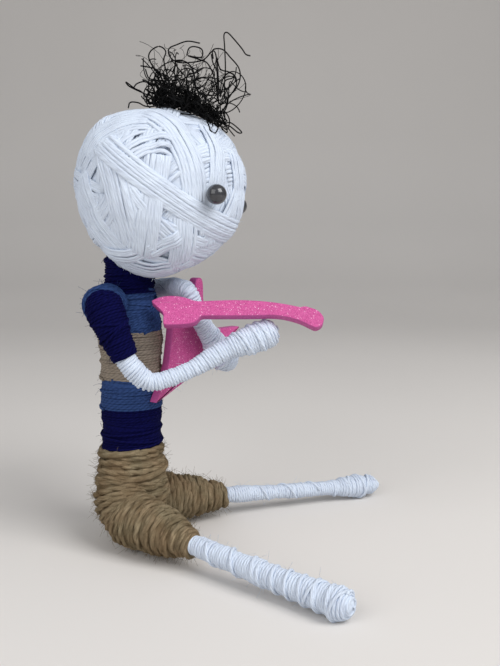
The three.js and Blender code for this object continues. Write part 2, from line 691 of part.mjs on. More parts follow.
function hipEnvelope() {
  const c = CLEARANCE;
  const low = SHORTS_BASE - c;
  return turned([
    [0, -1],
    [SEAT_FLAT_RADIUS + c, -1],
    [SEAT_FLAT_RADIUS + c, 0],
    [lerp(SEAT_FLAT_RADIUS, hipCore, 0.75) + c, SEAT_ROUNDING * 0.4],
    [hipCore + c, SEAT_ROUNDING],
    [hipCore + c, low],
    [HIP_RADIUS + 2 * c, low],
    [HIP_RADIUS + 2 * c, shortsTop + THIGH_ROOT_RADIUS],
    [0, shortsTop + THIGH_ROOT_RADIUS],
  ]);
}

function buildLeg(side) {
  const sign = side === "right" ? -1 : 1;
  const turn = radians(LEG_SPREAD[side]);
  const ahead = vec(sign * Math.sin(turn), -Math.cos(turn), 0);
  const rootHeight = THIGH_ROOT_RADIUS + ROOT_LIFT;
  const hip = vec(sign * HIP_SPACING, -HIP_FORWARD, rootHeight);
  const legPoint = (distance, height) => hip.clone().addScaledVector(ahead, distance).setZ(height);
  const hem = legPoint(THIGH_LENGTH, HEM_HEIGHT);
  const rear = legPoint(-THIGH_ROOT_RADIUS, rootHeight);
  const thigh = new Limb(
    [rear, hem],
    [
      [THIGH_ROOT_RADIUS, THIGH_ROOT_RADIUS],
      [THIGH_ROOT_RADIUS + THIGH_LENGTH * 0.6, THIGH_RADIUS],
      [THIGH_ROOT_RADIUS + THIGH_LENGTH, HEM_RADIUS],
    ],
    { startRound: THIGH_ROOT_RADIUS },
  );
  const windFrom = THIGH_ROOT_RADIUS + THIGH_LENGTH * 0.3;
  const windTo = thigh.length - JUTE_D / 2;
  const inset = JUTE_D + CLEARANCE;
  const wireFrom = THIGH_ROOT_RADIUS + CLEARANCE;
  const wireTo = thigh.length - CLEARANCE;
  const buttock = thigh.core(0, windFrom - JUTE_D, CLEARANCE, 7);
  const padding = join(buttock, thigh.core(THIGH_ROOT_RADIUS, thigh.length, inset, 6));
  const wireBore = thigh.wire(wireFrom - CLEARANCE, thigh.length + 1, bore(WIRE_D));
  addPiece(`${side}_thigh_padding`, cut(padding, hipEnvelope(), wireBore), finish(JUTE, 0.95));
  const turns = thigh.winding(`${side}_thigh_twine`, windFrom, windTo, LOOPS.thigh, JUTE_D, LIMB_STEPS + 1);
  addPiece(`${side}_thigh_twine`, turns, finish(JUTE, 0.95));
  addPiece(`${side}_thigh_wire`, thigh.wire(wireFrom, wireTo, WIRE_D), finish(WIRE, 0.4, 0.9));

  const kneeRadius = SHIN_RADIUS - CLEARANCE;
  const kneeDistance = THIGH_LENGTH + CLEARANCE + kneeRadius;
  const knee = legPoint(kneeDistance, HEM_HEIGHT);
  const toe = legPoint(LEG_LENGTH[side] + FOOT_RADIUS, FOOT_RADIUS - FOOT_SINK);
  const reach = knee.distanceTo(toe);
  const shin = new Limb(
    [knee, toe],
    [
      [reach * 0.5, SHIN_RADIUS],
      [reach - FOOT_RADIUS, FOOT_RADIUS],
    ],
    { endRound: FOOT_RADIUS },
  );
  const shinInset = COTTON_D + CLEARANCE;
  const shinWireFrom = kneeRadius / 2;
  const shinWireTo = shin.length - FOOT_RADIUS;
  const shinCore = shin.core(0, shin.length - COTTON_D, shinInset, 10);
  const shinPadding = join(shinCore, ball(knee, kneeRadius, 12, 8));
  const shinBore = shin.wire(-SHIN_RADIUS, shinWireTo + CLEARANCE, bore(WIRE_D));
  addPiece(`${side}_shin_padding`, cut(shinPadding, shinBore), finish(BATTING, 0.95));
  const shinEnd = shin.length - COTTON_D - CLEARANCE;
  const shinStart = kneeRadius + COTTON_D;
  const shinTurns = shin.winding(`${side}_shin_yarn`, shinStart, shinEnd, LOOPS.shin[side], COTTON_D);
  addPiece(`${side}_shin_yarn`, shinTurns, finish(WHITE, 0.95));
  addPiece(`${side}_shin_wire`, shin.wire(shinWireFrom, shinWireTo, WIRE_D), finish(WIRE, 0.4, 0.9));
}

buildTorso();
buildHead();
buildGuitarBody();
buildGuitarNeck();
for (const side of ["right", "left"]) {
  buildArm(side);
  buildLeg(side);
}

export default doll;
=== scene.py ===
"""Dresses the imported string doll: wound yarn and twine, curls, bead eyes and a glitter foam guitar.

Shapes are worked out in millimetres, and meshes are stored in metres. The doll faces -Y, its left
side is +X, and the origin is on the table under the middle of the torso.
"""

import math

import bpy
import numpy as np
from bpy.props import FloatProperty, FloatVectorProperty, IntProperty, PointerProperty
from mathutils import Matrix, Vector


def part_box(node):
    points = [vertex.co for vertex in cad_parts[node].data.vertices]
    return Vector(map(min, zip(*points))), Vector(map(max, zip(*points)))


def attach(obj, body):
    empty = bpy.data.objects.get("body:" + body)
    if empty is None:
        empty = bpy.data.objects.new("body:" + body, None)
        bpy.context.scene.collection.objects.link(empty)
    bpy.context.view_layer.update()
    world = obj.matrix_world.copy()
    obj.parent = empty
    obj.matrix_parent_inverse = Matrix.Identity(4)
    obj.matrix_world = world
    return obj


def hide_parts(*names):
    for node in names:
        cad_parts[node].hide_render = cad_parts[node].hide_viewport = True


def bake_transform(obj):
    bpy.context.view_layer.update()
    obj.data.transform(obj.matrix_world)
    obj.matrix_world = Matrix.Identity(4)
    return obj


bl_info = {
    "name": "Seated string doll",
    "version": (1, 0, 0),
    "blender": (4, 5, 0),
    "location": "View3D > Sidebar > Doll",
    "description": "Winds the yarn, twine and curls of a seated string doll over its packed frame",
    "category": "Object",
}

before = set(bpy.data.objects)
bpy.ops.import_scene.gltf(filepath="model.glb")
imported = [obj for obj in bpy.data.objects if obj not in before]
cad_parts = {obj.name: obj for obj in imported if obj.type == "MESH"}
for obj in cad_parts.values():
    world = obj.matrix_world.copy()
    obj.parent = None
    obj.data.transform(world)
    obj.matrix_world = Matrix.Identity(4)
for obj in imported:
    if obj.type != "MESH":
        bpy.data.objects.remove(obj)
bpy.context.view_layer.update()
MM = 0.001


def node_middle(name):
    """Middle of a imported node's box, in millimetres."""
    low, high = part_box(name)
    return (np.array(low) + np.array(high)) / 2 / MM


def unit(v):
    """Vectors divided by their length along the last axis."""
    return v / np.maximum(np.linalg.norm(v, axis=-1, keepdims=True), 1e-12)


# Places, in millimetres, as in the solids

CAMERA_PLACE = np.array([-158.2, -53.1, 63.3])
CAMERA_AIM = (0.978, 0.1724, -0.1167)
HEAD_MIDDLE = node_middle("head_ball")
HEAD_RADIUS = 17.0
HEAD_TOWARD = unit(CAMERA_PLACE - HEAD_MIDDLE)
HEAD_RIGHT = unit(np.cross([0, 0, 1], HEAD_TOWARD))
HEAD_UP = np.cross(HEAD_TOWARD, HEAD_RIGHT)
SHOULDER_Z = 51.5
SHOULDER = {"right": np.array([-10.3, 2.3, SHOULDER_Z]), "left": np.array([10.3, 2.3, SHOULDER_Z])}
BOARD_FACE = np.array([-0.5, -0.8660254, 0.0])
BOARD_ALONG = np.array([0.8660254, -0.5, 0.0])
BOARD_FRONT = 8.6
SIDES = {"right": -1, "left": 1}
HIP_SIDE = 6.8
HIP_FRONT = 2.2
LEG_SPREAD = {"right": 28.5, "left": 32.3}
LEG_REACH = {"right": 49.2, "left": 54.7}
HEM = 16.8
FOOT = 2.9
UP = np.array([0.0, 0.0, 1.0])


def board_point(along, front, height):
    """A point by its distance along the guitar's body, in front of its face and above the shoulders."""
    return along * BOARD_ALONG + (BOARD_FRONT + front) * BOARD_FACE + (SHOULDER_Z + height) * UP


def leg_point(side, distance, height):
    """A point on a leg by its distance from the hip's middle and its height."""
    turn = math.radians(LEG_SPREAD[side])
    across = SIDES[side] * (HIP_SIDE + distance * math.sin(turn))
    return np.array([across, -HIP_FRONT - distance * math.cos(turn), height])


def from_shoulder(side, *offsets):
    """Points by their offsets from the middle of a shoulder."""
    return [SHOULDER[side] + np.array(offset) for offset in offsets]


def metres(point):
    """A point in millimetres, as numbers in metres."""
    return tuple(float(x) * MM for x in point)


ARM_ROUTE = {
    "right": from_shoulder(
        "right",
        (-0.75, -4.2, -9.6),
        (-0.7, -5.0, -11.5),
        (-0.1, -7.4, -14.6),
        (0.9, -10.2, -16.0),
        (3.7, -16.6, -13.9),
        (6.8, -23.7, -9.9),
        (10.2, -33.2, -6.3),
    ),
    "left": [
        *from_shoulder("left", (0.4, -2.5, 0.6), (0.4, -4.8, 1.0)),
        board_point(9.6, -6.6, 1.6),
        board_point(7.2, -1.4, 1.7),
        board_point(6.4, 2.0, 1.2),
        board_point(7.6, 2.7, -1.8),
        board_point(10.4, 3.15, -7.0),
        board_point(16.5, 4.95, -15.5),
    ],
}


# Sizes and colours


def size(name, millimetres, description):
    """A length, kept in metres."""
    return FloatProperty(
        name=name, description=description, default=millimetres * MM, min=0.0, precision=5,
        subtype="DISTANCE", unit="LENGTH",
    )


def tint(name, red, green, blue, description):
    """A colour given as eight-bit sRGB and kept as linear light."""
    srgb = np.array([red, green, blue]) / 255.0
    linear = np.where(srgb <= 0.04045, srgb / 12.92, ((srgb + 0.055) / 1.055) ** 2.4)
    return FloatVectorProperty(
        name=name, description=description, default=tuple(linear), min=0, max=1, size=3, subtype="COLOR"
    )


class DollSizes(bpy.types.PropertyGroup):
    """Sizes that a maker would change."""

    cotton: size("Cotton yarn", 0.58, "Thickness of the white yarn on the limbs")
    head_cotton: size("Head yarn", 0.54, "Thickness of the white yarn on the head")
    shirt: size("Shirt yarn", 0.52, "Thickness of the dyed yarn")
    jute: size("Jute twine", 1.3, "Thickness of the shorts' twine")
    hair: size("Hair thread", 0.28, "Thickness of a curl's thread")
    bead: size("Eye bead", 3.8, "Diameter of the pin heads")
    foam: size("Foam sheet", 2.0, "Thickness of the guitar's foam")
    curls: IntProperty(name="Curls", default=110, min=10, max=300, description="Small curls in the tuft")
    seed: IntProperty(name="Seed", default=7, min=0, max=999, description="Seed of all unevenness")


class DollColours(bpy.types.PropertyGroup):
    """Colours of the yarns, beads and foam."""

    cotton: tint("White cotton", 214, 224, 238, "Head, arms and legs")
    navy: tint("Navy yarn", 10, 11, 58, "Sleeves, waist and collar")
    denim: tint("Denim yarn", 50, 72, 118, "Chest and low stripe")
    beige: tint("Beige yarn", 142, 131, 118, "Middle stripe")
    jute: tint("Jute", 134, 119, 97, "Shorts")
    hair: tint("Hair", 6, 6, 7, "Curls")
    bead: tint("Pearl grey", 52, 53, 58, "Pin heads")
    foam: tint("Pink foam", 202, 76, 146, "Guitar")
    rim: tint("Foam edge", 188, 78, 146, "Cut edges of the guitar")
    wire: tint("Wire", 150, 152, 156, "Armature")
    floor: tint("Floor", 222, 218, 214, "Floor and backdrop")


def length(key):
    """One of the sizes, in millimetres."""
    return getattr(bpy.context.scene.doll_sizes, key) / MM


def colour(key):
    """One of the colours, as linear light."""
    return tuple(getattr(bpy.context.scene.doll_colours, key))


def seeded(number):
    """Random draws that stay the same in each run."""
    return np.random.default_rng(number + bpy.context.scene.doll_sizes.seed)


# Arrays

TWISTED = {"lay": 6.0, "loose": 0.4, "lumps": 0.035}
WINDINGS = {
    # Yarn, seed, loose fibres (how many, the longest and the thickness), and how the cord is wound
    "shirt": ("shirt", 100, (70, 1.5, 0.05), {"steps": 34}),
    "sleeves": ("shirt", 120, (90, 1.4, 0.05), {"steps": 24}),
    "arms": ("cotton", 140, (60, 1.2, 0.05), {"steps": 20}),
    "hips": ("jute", 160, (1100, 1.6, 0.05), {"steps": 80, **TWISTED}),
    "thighs": ("jute", 170, (1100, 1.6, 0.05), {"steps": 64, **TWISTED}),
    "legs": ("cotton", 180, (90, 1.6, 0.05), {"steps": 20, "lumps": 0.07}),
}
# Unevenness: the range of a phase, and how each sine is faster and smaller than the one before
PHASES = (0.0, 6.28)
WOBBLE_RATE = 1.9
WOBBLE_FALL = 0.6
ROUTE_STEPS = 3000
GRAIN_SHIFT = 7.31
CLOSED_TIP = 0.004
FIBRE_OUT = 0.6
FIBRE_STRAY = 0.9
FIBRE_BEND = 0.45
LEAST_TURN = 0.05
LEAST_CORE = 0.03
# Shares of a cord's thickness: half sizes of a cord and of a ply, then places and unevenness
CORD_WIDTH = 0.57
CORD_DEPTH = 0.5
PLY_WIDTH = 0.42
PLY_DEPTH = 0.4
PLY_OFFSET = 0.15
CORD_UNEVEN = 0.16
CORD_OUTSIDE = 0.4
CORE_BELOW = 0.55


def wobble(x, rng, octaves, base):
    """Smooth seeded noise of one parameter: a sum of sines whose size falls as the rate grows."""
    total = np.zeros_like(x, dtype=float)
    for k in range(octaves):
        total += np.sin(base * WOBBLE_RATE**k * x + rng.uniform(*PHASES)) * WOBBLE_FALL**k
    return total / 2.0


class Route:
    """A smooth curve through points: cubic pieces whose slope at a point is half the step between
    its neighbours, sampled again at equal distances, with two cross axes made from a guide axis."""

    def __init__(self, points, count=600):
        p = np.asarray(points, float)
        p = np.vstack([2 * p[0] - p[1], p, 2 * p[-1] - p[-2]])
        t = np.linspace(0, len(p) - 3, ROUTE_STEPS)
        i = np.minimum(t.astype(int), len(p) - 4)
        f = (t - i)[:, None]
        a, b, c, d = p[i], p[i + 1], p[i + 2], p[i + 3]
        curve = 0.5 * (
            2 * b + (c - a) * f + (2 * a - 5 * b + 4 * c - d) * f**2 + (3 * b - a - 3 * c + d) * f**3
        )
        step = np.linalg.norm(np.diff(curve, axis=0), axis=1)
        along = np.concatenate([[0], np.cumsum(step)])
        self.length = along[-1]
        self.s = np.linspace(0, self.length, count)
        self.points = np.stack([np.interp(self.s, along, curve[:, k]) for k in range(3)], 1)
        tangent = unit(np.gradient(self.points, axis=0))
        guide = np.eye(3)[np.argmin(np.abs(tangent).max(0))]
        self.first = unit(guide - (tangent @ guide)[:, None] * tangent)
        self.second = np.cross(tangent, self.first)

    def at(self, s):
        """Points and the two cross axes at given distances."""
        places, first, second = (
            np.stack([np.interp(s, self.s, table[:, k]) for k in range(3)], -1)
            for table in (self.points, self.first, self.second)
        )
        return places, unit(first), unit(second)


class Skin:
    """Vertices, faces of any size and a UV for every corner, gathered into one mesh."""

    def __init__(self):
        self.verts, self.faces, self.uvs, self.count = [], [], [], 0

    def add(self, verts, faces, uvs, *more_faces):
        """Adds vertices with a block of equal-sized faces, and further blocks on the same vertices."""
        base = self.count
        self.verts.append(verts.reshape(-1, 3))
        self.count += verts.size // 3
        for block, corners in ((faces, uvs), *more_faces):
            self.faces.append(block + base)
            self.uvs.append(corners.reshape(-1, 2))

    def build(self, name, finish, slot):
        """The mesh object, in metres, at the origin. Nothing goes below the table."""
        verts = np.concatenate(self.verts) * MM
        verts[:, 2] = np.maximum(verts[:, 2], 0.0)
        loops = np.concatenate([f.ravel() for f in self.faces])
        total = np.concatenate([np.full(len(f), f.shape[1]) for f in self.faces])
        mesh = bpy.data.meshes.new(name)
        mesh.vertices.add(len(verts))
        mesh.vertices.foreach_set("co", verts.astype(np.float32).ravel())
        mesh.loops.add(len(loops))
        mesh.loops.foreach_set("vertex_index", loops.astype(np.int32))
        mesh.polygons.add(len(total))
        mesh.polygons.foreach_set("loop_start", (np.cumsum(total) - total).astype(np.int32))
        mesh.polygons.foreach_set("loop_total", total.astype(np.int32))
        layer = mesh.uv_layers.new(name="along")
        layer.data.foreach_set("uv", np.concatenate(self.uvs).astype(np.float32).ravel())
        mesh.update(calc_edges=True)
        mesh.validate()
        mesh.polygons.foreach_set("use_smooth", np.ones(len(mesh.polygons), bool))
        mesh.materials.append(finish_named(finish))
        piece = bpy.data.objects.new(name, mesh)
        bpy.context.scene.collection.objects.link(piece)
        return piece

    def strands(self, path, normal, across, deep, sides):
        """Closed cords: an ellipse of the given half sizes carried along each path of an array
        (cords, steps, 3), with its deep axis on the given normals. The ends are capped."""
        path = path if path.ndim == 3 else path[None]
        cords, steps, _ = path.shape
        tangent = unit(np.gradient(path, axis=1))
        normal = unit(normal - (normal * tangent).sum(-1, keepdims=True) * tangent)
        third = np.cross(tangent, normal)
        turn = 2 * np.pi * np.arange(sides) / sides
        across, deep = (
            np.broadcast_to(np.asarray(half, float), (cords, steps))[..., None, None]
            for half in (across, deep)
        )
        ring = deep * np.cos(turn)[:, None] * normal[:, :, None]
        ring = ring + across * np.sin(turn)[:, None] * third[:, :, None]
        index = np.arange(cords * steps * sides).reshape(cords, steps, sides)
        nxt = np.roll(index, -1, axis=2)
        quads = np.stack([index[:, :-1], nxt[:, :-1], nxt[:, 1:], index[:, 1:]], -1).reshape(-1, 4)
        run = np.cumsum(np.linalg.norm(np.diff(path, axis=1, prepend=path[:, :1]), axis=2), 1)
        run = run + np.arange(cords)[:, None] * GRAIN_SHIFT
        low, high = (np.repeat(r[..., None], sides, 2) for r in (run[:, :-1], run[:, 1:]))
        left = np.broadcast_to(np.arange(sides) / sides, low.shape)
        right = left + 1 / sides
        corners = ((low, left), (low, right), (high, right), (high, left))
        uvs = np.stack([np.stack(corner, -1) for corner in corners], 3)
        flat = np.zeros((cords, sides, 2))
        caps = [(index[:, 0, ::-1].copy(), flat), (index[:, -1].copy(), flat)]
        self.add(path[:, :, None] + ring, quads, uvs, *caps)

    def column(self, route, radius, sides=28):
        """The plain body under a winding: circles of the given radii carried along a route."""
        self.strands(route.points, route.first[None], radius, radius, sides)

    def ball(self, middle, radius, sides=40, steps=27):
        """A ball: circles whose radius is the sine of their tilt, carried along an upright axis."""
        tip = 0.02
        tilt = np.linspace(tip, np.pi - tip, steps)
        path = middle - radius * np.cos(tilt)[:, None] * UP
        ring = radius * np.sin(tilt)
        self.strands(path, np.array([1.0, 0, 0]), ring, ring, sides)

    def fibres(self, places, normals, rng, count, span, thick):
        """Loose fibres: from seeded places on a surface each runs out between the normal and a
        seeded direction, and bends by the square of its length."""
        pick = rng.integers(0, len(places), count)
        out = unit(FIBRE_OUT * normals[pick] + FIBRE_STRAY * rng.normal(size=(count, 3)))
        out = out * np.where((out * normals[pick]).sum(1) < 0, -1, 1)[:, None]
        bend = rng.normal(size=(count, 3))
        t = np.linspace(0, 1, 5)[None, :, None]
        reach = span * rng.uniform(0.3, 1.0, count)[:, None, None]
        path = places[pick][:, None] + reach * (out[:, None] * t + FIBRE_BEND * bend[:, None] * t**2)
        self.strands(path, np.broadcast_to(bend[:, None], path.shape), thick / 2, thick / 2, 3)


def profile(pairs, start=0.0, end=0.0):
    """A radius along a route: smooth steps between [share of the length, radius] pairs. An end that
    is rounded over some millimetres closes as a quarter circle."""
    d, r = np.array(pairs, float).T

    def radius(s, whole):
        share = s / whole
        i = np.clip(np.searchsorted(d, share) - 1, 0, len(d) - 2)
        f = np.clip((share - d[i]) / (d[i + 1] - d[i]), 0, 1)
        f = f * f * (3 - 2 * f)
        value = r[i] * (1 - f) + r[i + 1] * f
        for distance, span in ((s, start), (whole - s, end)):
            if span > 0:
                closing = np.clip(1 - distance / span, 0, 1)
                value = value * np.sqrt(np.clip(1 - closing**2, CLOSED_TIP, 1))
        return value

    return radius


def wind(
    skin, route, radius, cord, rng, steps=22, span=None, pitch=None, phase=0.0, lift=0.0,
    loose=0.14, lumps=0.04, lay=0.0, limit=None,
):
    """One cord wound round a route: it turns once for each pitch of distance at the profile's radius,
    swelled by slow noise, with a small drift along the route and small differences in height. With a
    lay, it is two plies that turn round each other once in that length. Returns points on its
    outside, and the directions out."""
    low, high = span or (0.0, route.length)
    pitch = pitch or cord
    turns = (high - low) / abs(pitch)
    t = np.linspace(0, 1, int(turns * steps) + 2)
    angle = 2 * np.pi * turns * t * np.sign(pitch) + phase
    s = np.clip(low + (high - low) * t + loose * cord * wobble(angle, rng, 4, 0.37), low, high)
    centre, first, second = route.at(s)
    out = np.cos(angle)[:, None] * first + np.sin(angle)[:, None] * second
    swell = 1 + lumps * wobble(s, rng, 4, 0.45) + 0.5 * lumps * wobble(angle, rng, 2, 1.0)
    r = radius(s, route.length) * swell - cord / 2 + lift
    r = r + CORD_UNEVEN * cord * wobble(angle, rng, 4, 0.21)
    path = centre + np.maximum(r, LEAST_TURN)[:, None] * out
    if limit:
        path = limit(path)
    if lay:
        run = np.cumsum(np.linalg.norm(np.diff(path, axis=0, prepend=path[:1]), axis=1))
        side = unit(np.cross(np.gradient(path, axis=0), out))
        for half in (0.0, np.pi):
            twist = (2 * np.pi * run / lay + half)[:, None]
            ply = path + PLY_OFFSET * cord * (np.cos(twist) * out + np.sin(twist) * side)
            skin.strands(ply, out[None], cord * PLY_WIDTH, cord * PLY_DEPTH, 5)
    else:
        skin.strands(path, out[None], cord * CORD_WIDTH, cord * CORD_DEPTH, 6)
    return path + CORD_OUTSIDE * cord * out, out


def wound(group, k, route, radius, crossings=(), proud=0.3, limit=None):
    """A skin for piece k of a group, wound with one cord over its plain body, with loose fibres. Each
    crossing gives the shares of the route where more turns start and end, their pitch and their
    phase. They stand proud by a share of the cord."""
    yarn, seed, fuzz, manner = WINDINGS[group]
    cord = length(yarn)
    rng = seeded(seed + k)
    skin = Skin()
    core = radius(route.s, route.length) - cord * CORE_BELOW
    skin.column(route, np.maximum(core, LEAST_CORE))
    places, normals = wind(skin, route, radius, cord, rng, limit=limit, **manner)
    for low, high, pitch, phase in crossings:
        span = (low * route.length, high * route.length)
        wind(skin, route, radius, cord, rng, span=span, pitch=pitch, phase=phase, lift=cord * proud)
    skin.fibres(places, normals, rng, *fuzz)
    return skin


# Materials


class Finish:
    """A node material in the making: small helpers that add and join nodes."""

    def __init__(self, name, roughness, gloss=0.5):
        self.material = bpy.data.materials.new(name)
        self.material.use_nodes = True
        self.tree = self.material.node_tree
        self.shader = self.tree.nodes["Principled BSDF"]
        self.set("Roughness", roughness)
        self.set("Specular IOR Level", gloss)

    def set(self, socket, value):
        self.shader.inputs[socket].default_value = value

    def node(self, kind, inputs=(), **settings):
        made = self.tree.nodes.new(kind)
        for key, value in settings.items():
            setattr(made, key, value)
        for key, value in dict(inputs).items():
            if isinstance(value, bpy.types.NodeSocket):
                self.tree.links.new(value, made.inputs[key])
            else:
                made.inputs[key].default_value = value
        return made

    def math(self, operation, a, b=0.0):
        return self.node("ShaderNodeMath", {0: a, 1: b}, operation=operation).outputs[0]

    def blend(self, *parts):
        """A weighted sum of (weight, factor) pairs."""
        total = 0.0
        for weight, factor in parts:
            total = self.math("ADD", self.math("MULTIPLY", factor, weight), total)
        return total

    def place(self):
        return self.node("ShaderNodeTexCoord").outputs["Object"]

    def along(self):
        return self.node("ShaderNodeUVMap", uv_map="along").outputs[0]

    def noise(self, scale, detail=3.0, roughness=0.55):
        inputs = {"Vector": self.place(), "Scale": scale, "Detail": detail, "Roughness": roughness}
        return self.node("ShaderNodeTexNoise", inputs).outputs["Fac"]

    def streaks(self, along, across, detail=2.0):
        """Noise drawn out along a strand: grains in a millimetre along it, and grains round it."""
        stretch = {"Vector": self.along(), "Scale": (along, across, 1.0)}
        drawn = self.node("ShaderNodeMapping", stretch).outputs[0]
        inputs = {"Vector": drawn, "Scale": 1.0, "Detail": detail}
        return self.node("ShaderNodeTexNoise", inputs).outputs["Fac"]

    def ridges(self, plies, lay):
        """Rounded ridges that twist round a strand: the size of a sine of the turn and the run."""
        uv = self.node("ShaderNodeSeparateXYZ", {0: self.along()})
        turn = self.blend((math.pi * plies, uv.outputs[1]), (math.pi / lay, uv.outputs[0]))
        return self.math("ABSOLUTE", self.math("SINE", turn))

    def ramp(self, factor, *stops):
        made = self.node("ShaderNodeValToRGB", {"Fac": factor})
        ramp = made.color_ramp
        while len(ramp.elements) < len(stops):
            ramp.elements.new(0.5)
        for element, (place, tone) in zip(ramp.elements, stops):
            element.position = place
            element.color = (*tone, 1.0)
        return made.outputs["Color"]

    def mix(self, factor, a, b, blend="MIX"):
        inputs = {0: factor, 6: a, 7: b}
        return self.node("ShaderNodeMix", inputs, data_type="RGBA", blend_type=blend).outputs[2]

    def join_surface(self, tone, height, depth, strength=0.6, roughness=None):
        """Joins colour, height in millimetres of depth, and roughness to the shader."""
        inputs = {"Height": height, "Strength": strength, "Distance": depth * MM}
        normal = self.node("ShaderNodeBump", inputs).outputs["Normal"]
        for socket, value in (("Base Color", tone), ("Roughness", roughness), ("Normal", normal)):
            if value is not None:
                self.tree.links.new(value, self.shader.inputs[socket])
        return self.material


def shade(tone, *factors):
    """A colour times one factor, or times one for each channel, kept below white."""
    factors = factors * 3 if len(factors) == 1 else factors
    return tuple(min(1.0, c * f) for c, f in zip(tone, factors))


def yarn_finish(name, dye, plies, lay, depth, dark, light):
    """Plied yarn: ridges that twist round the cord, streaks of fibre along it and slow patches. The
    ridges also set the colour: painted shade in the grooves between the plies and painted highlight on
    their crests.
    """
    tone = colour(dye)
    finish = Finish(name, 0.95, 0.06)
    ridge = finish.ridges(plies, lay)
    streak = finish.streaks(0.9, 9.0)
    fibre = finish.noise(9000.0, 2.0, 0.7)
    shown = finish.blend((0.4, ridge), (0.35, streak), (0.25, fibre))
    # Colour ramp: painted shade in the grooves between the plies and painted highlight on their crests,
    # mixed with the real darker and lighter streaks and fibres
    base = finish.ramp(shown, (0.15, shade(tone, dark)), (0.5, tone), (0.85, shade(tone, light)))
    patch = finish.ramp(finish.noise(350.0), (0.3, (0.88, 0.88, 0.9)), (0.7, (1.0, 1.0, 1.0)))
    height = finish.blend((1.0, ridge), (0.6, fibre), (0.5, streak))
    return finish.join_surface(finish.mix(1.0, base, patch, "MULTIPLY"), height, depth)


def jute_finish(name):
    """Jute: bast fibres drawn along each ply, from bark brown to straw, changing from turn to turn."""
    tone = colour("jute")
    finish = Finish(name, 0.95, 0.08)
    streak = finish.streaks(0.45, 6.0, 4.0)
    stretch = finish.streaks(0.05, 0.2, 3.0)
    fibre = finish.noise(7000.0, 3.0, 0.7)
    shown = finish.blend((0.5, streak), (0.3, stretch), (0.2, fibre))
    base = finish.ramp(
        shown,
        (0.3, shade(tone, 0.3, 0.26, 0.22)),
        (0.43, shade(tone, 0.72, 0.7, 0.66)),
        (0.53, shade(tone, 1.05)),
        (0.68, shade(tone, 1.7, 1.74, 1.8)),
    )
    green = finish.ramp(finish.noise(160.0), (0.35, (1.0, 0.92, 0.84)), (0.65, (0.96, 1.0, 0.96)))
    height = finish.blend((1.0, streak), (0.6, fibre))
    return finish.join_surface(finish.mix(1.0, base, green, "MULTIPLY"), height, 0.3, 0.8)


def foam_finish(name):
    """Glitter foam: small flakes of differing tone and gloss on the faces, the brightest few painted as
    glints, and a plain cut edge.
    """
    pink = colour("foam")
    rim = colour("rim")
    finish = Finish(name, 0.6)
    flakes = finish.node("ShaderNodeTexVoronoi", {"Vector": finish.place(), "Scale": 7000.0})
    split = finish.node("ShaderNodeSeparateColor", {0: flakes.outputs["Color"]})
    # Flake tones differ at random; the two top stops, bright pink and near white, are painted glints of
    # the glitter
    glitter = finish.ramp(
        split.outputs[0],
        (0.0, shade(pink, 0.74, 0.6, 0.72)),
        (0.35, shade(pink, 0.95)),
        (0.75, shade(pink, 1.08, 1.3, 1.1)),
        (0.97, shade(pink, 1.1, 1.7, 1.25)),
        (0.995, (1.0, 0.62, 0.82)),
    )
    cut = finish.ramp(finish.noise(1800.0), (0.35, shade(rim, 0.9)), (0.65, shade(rim, 1.08)))
    edge = finish.node("ShaderNodeSeparateXYZ", {0: finish.along()}).outputs[1]
    slow = finish.ramp(finish.noise(260.0), (0.3, (0.93, 0.9, 0.93)), (0.7, (1.0, 1.0, 1.0)))
    tone = finish.mix(1.0, finish.mix(edge, glitter, cut), slow, "MULTIPLY")
    gloss = finish.math("SUBTRACT", 0.8, finish.math("MULTIPLY", split.outputs[1], 0.45))
    height = finish.blend((0.6, flakes.outputs["Distance"]), (0.6, split.outputs[2]))
    return finish.join_surface(tone, height, 0.1, 0.5, gloss)


def bead_finish(name):
    """Pearl pin heads: dark grey with a soft cloud of lighter lacquer under a clear coat."""
    grey = colour("bead")
    finish = Finish(name, 0.25)
    finish.set("Metallic", 0.15)
    finish.set("Coat Weight", 0.6)
    finish.set("Coat Roughness", 0.06)
    deep, pale = shade(grey, 0.62, 0.62, 0.6), shade(grey, 1.35)
    cloud = finish.ramp(finish.noise(500.0, 4.0), (0.3, deep), (0.7, pale))
    return finish.join_surface(cloud, finish.noise(2600.0, 2.0), 0.02, 0.2)


def grained_finish(name, key, scale, roughness, metallic, dark, light):
    """Fine grain in one colour, for thread, wire and floor."""
    tone = colour(key)
    finish = Finish(name, roughness, 0.15)
    finish.set("Metallic", metallic)
    grain = finish.noise(scale, 2.0)
    base = finish.ramp(grain, (0.3, shade(tone, dark)), (0.7, shade(tone, light)))
    return finish.join_surface(base, grain, 0.02, 0.4)


FINISHES = {
    # Yarn: colour, plies, millimetres to a twist, depth of its ridges, darkest share (painted shade in
    # the ply grooves, with darker fibres) and lightest share (painted highlight on the ply crests, with
    # lighter fibres)
    "white_cotton": (yarn_finish, "cotton", 3, 1.3, 0.08, 0.76, 1.06),
    "head_cotton": (yarn_finish, "cotton", 4, 2.6, 0.05, 0.84, 1.06),
    "navy_wool": (yarn_finish, "navy", 2, 1.2, 0.08, 0.45, 1.5),
    "denim_wool": (yarn_finish, "denim", 2, 1.2, 0.08, 0.45, 1.35),
    "beige_wool": (yarn_finish, "beige", 2, 1.2, 0.08, 0.5, 1.2),
    "jute_twine": (jute_finish,),
    "glitter_foam": (foam_finish,),
    "pearl_grey": (bead_finish,),
    # Grain: colour, grains in a metre, roughness, metal, darkest and lightest share
    "black_thread": (grained_finish, "hair", 3000.0, 0.7, 0.0, 0.6, 1.3),
    "drawn_wire": (grained_finish, "wire", 5000.0, 0.35, 1.0, 0.7, 1.2),
    "pale_floor": (grained_finish, "floor", 5.0, 0.9, 0.0, 0.97, 1.0),
}


def finish_named(name):
    """One of the doll's finishes, made once."""
    maker, *settings = FINISHES[name]
    return bpy.data.materials.get(name) or maker(name, *settings)


# Head

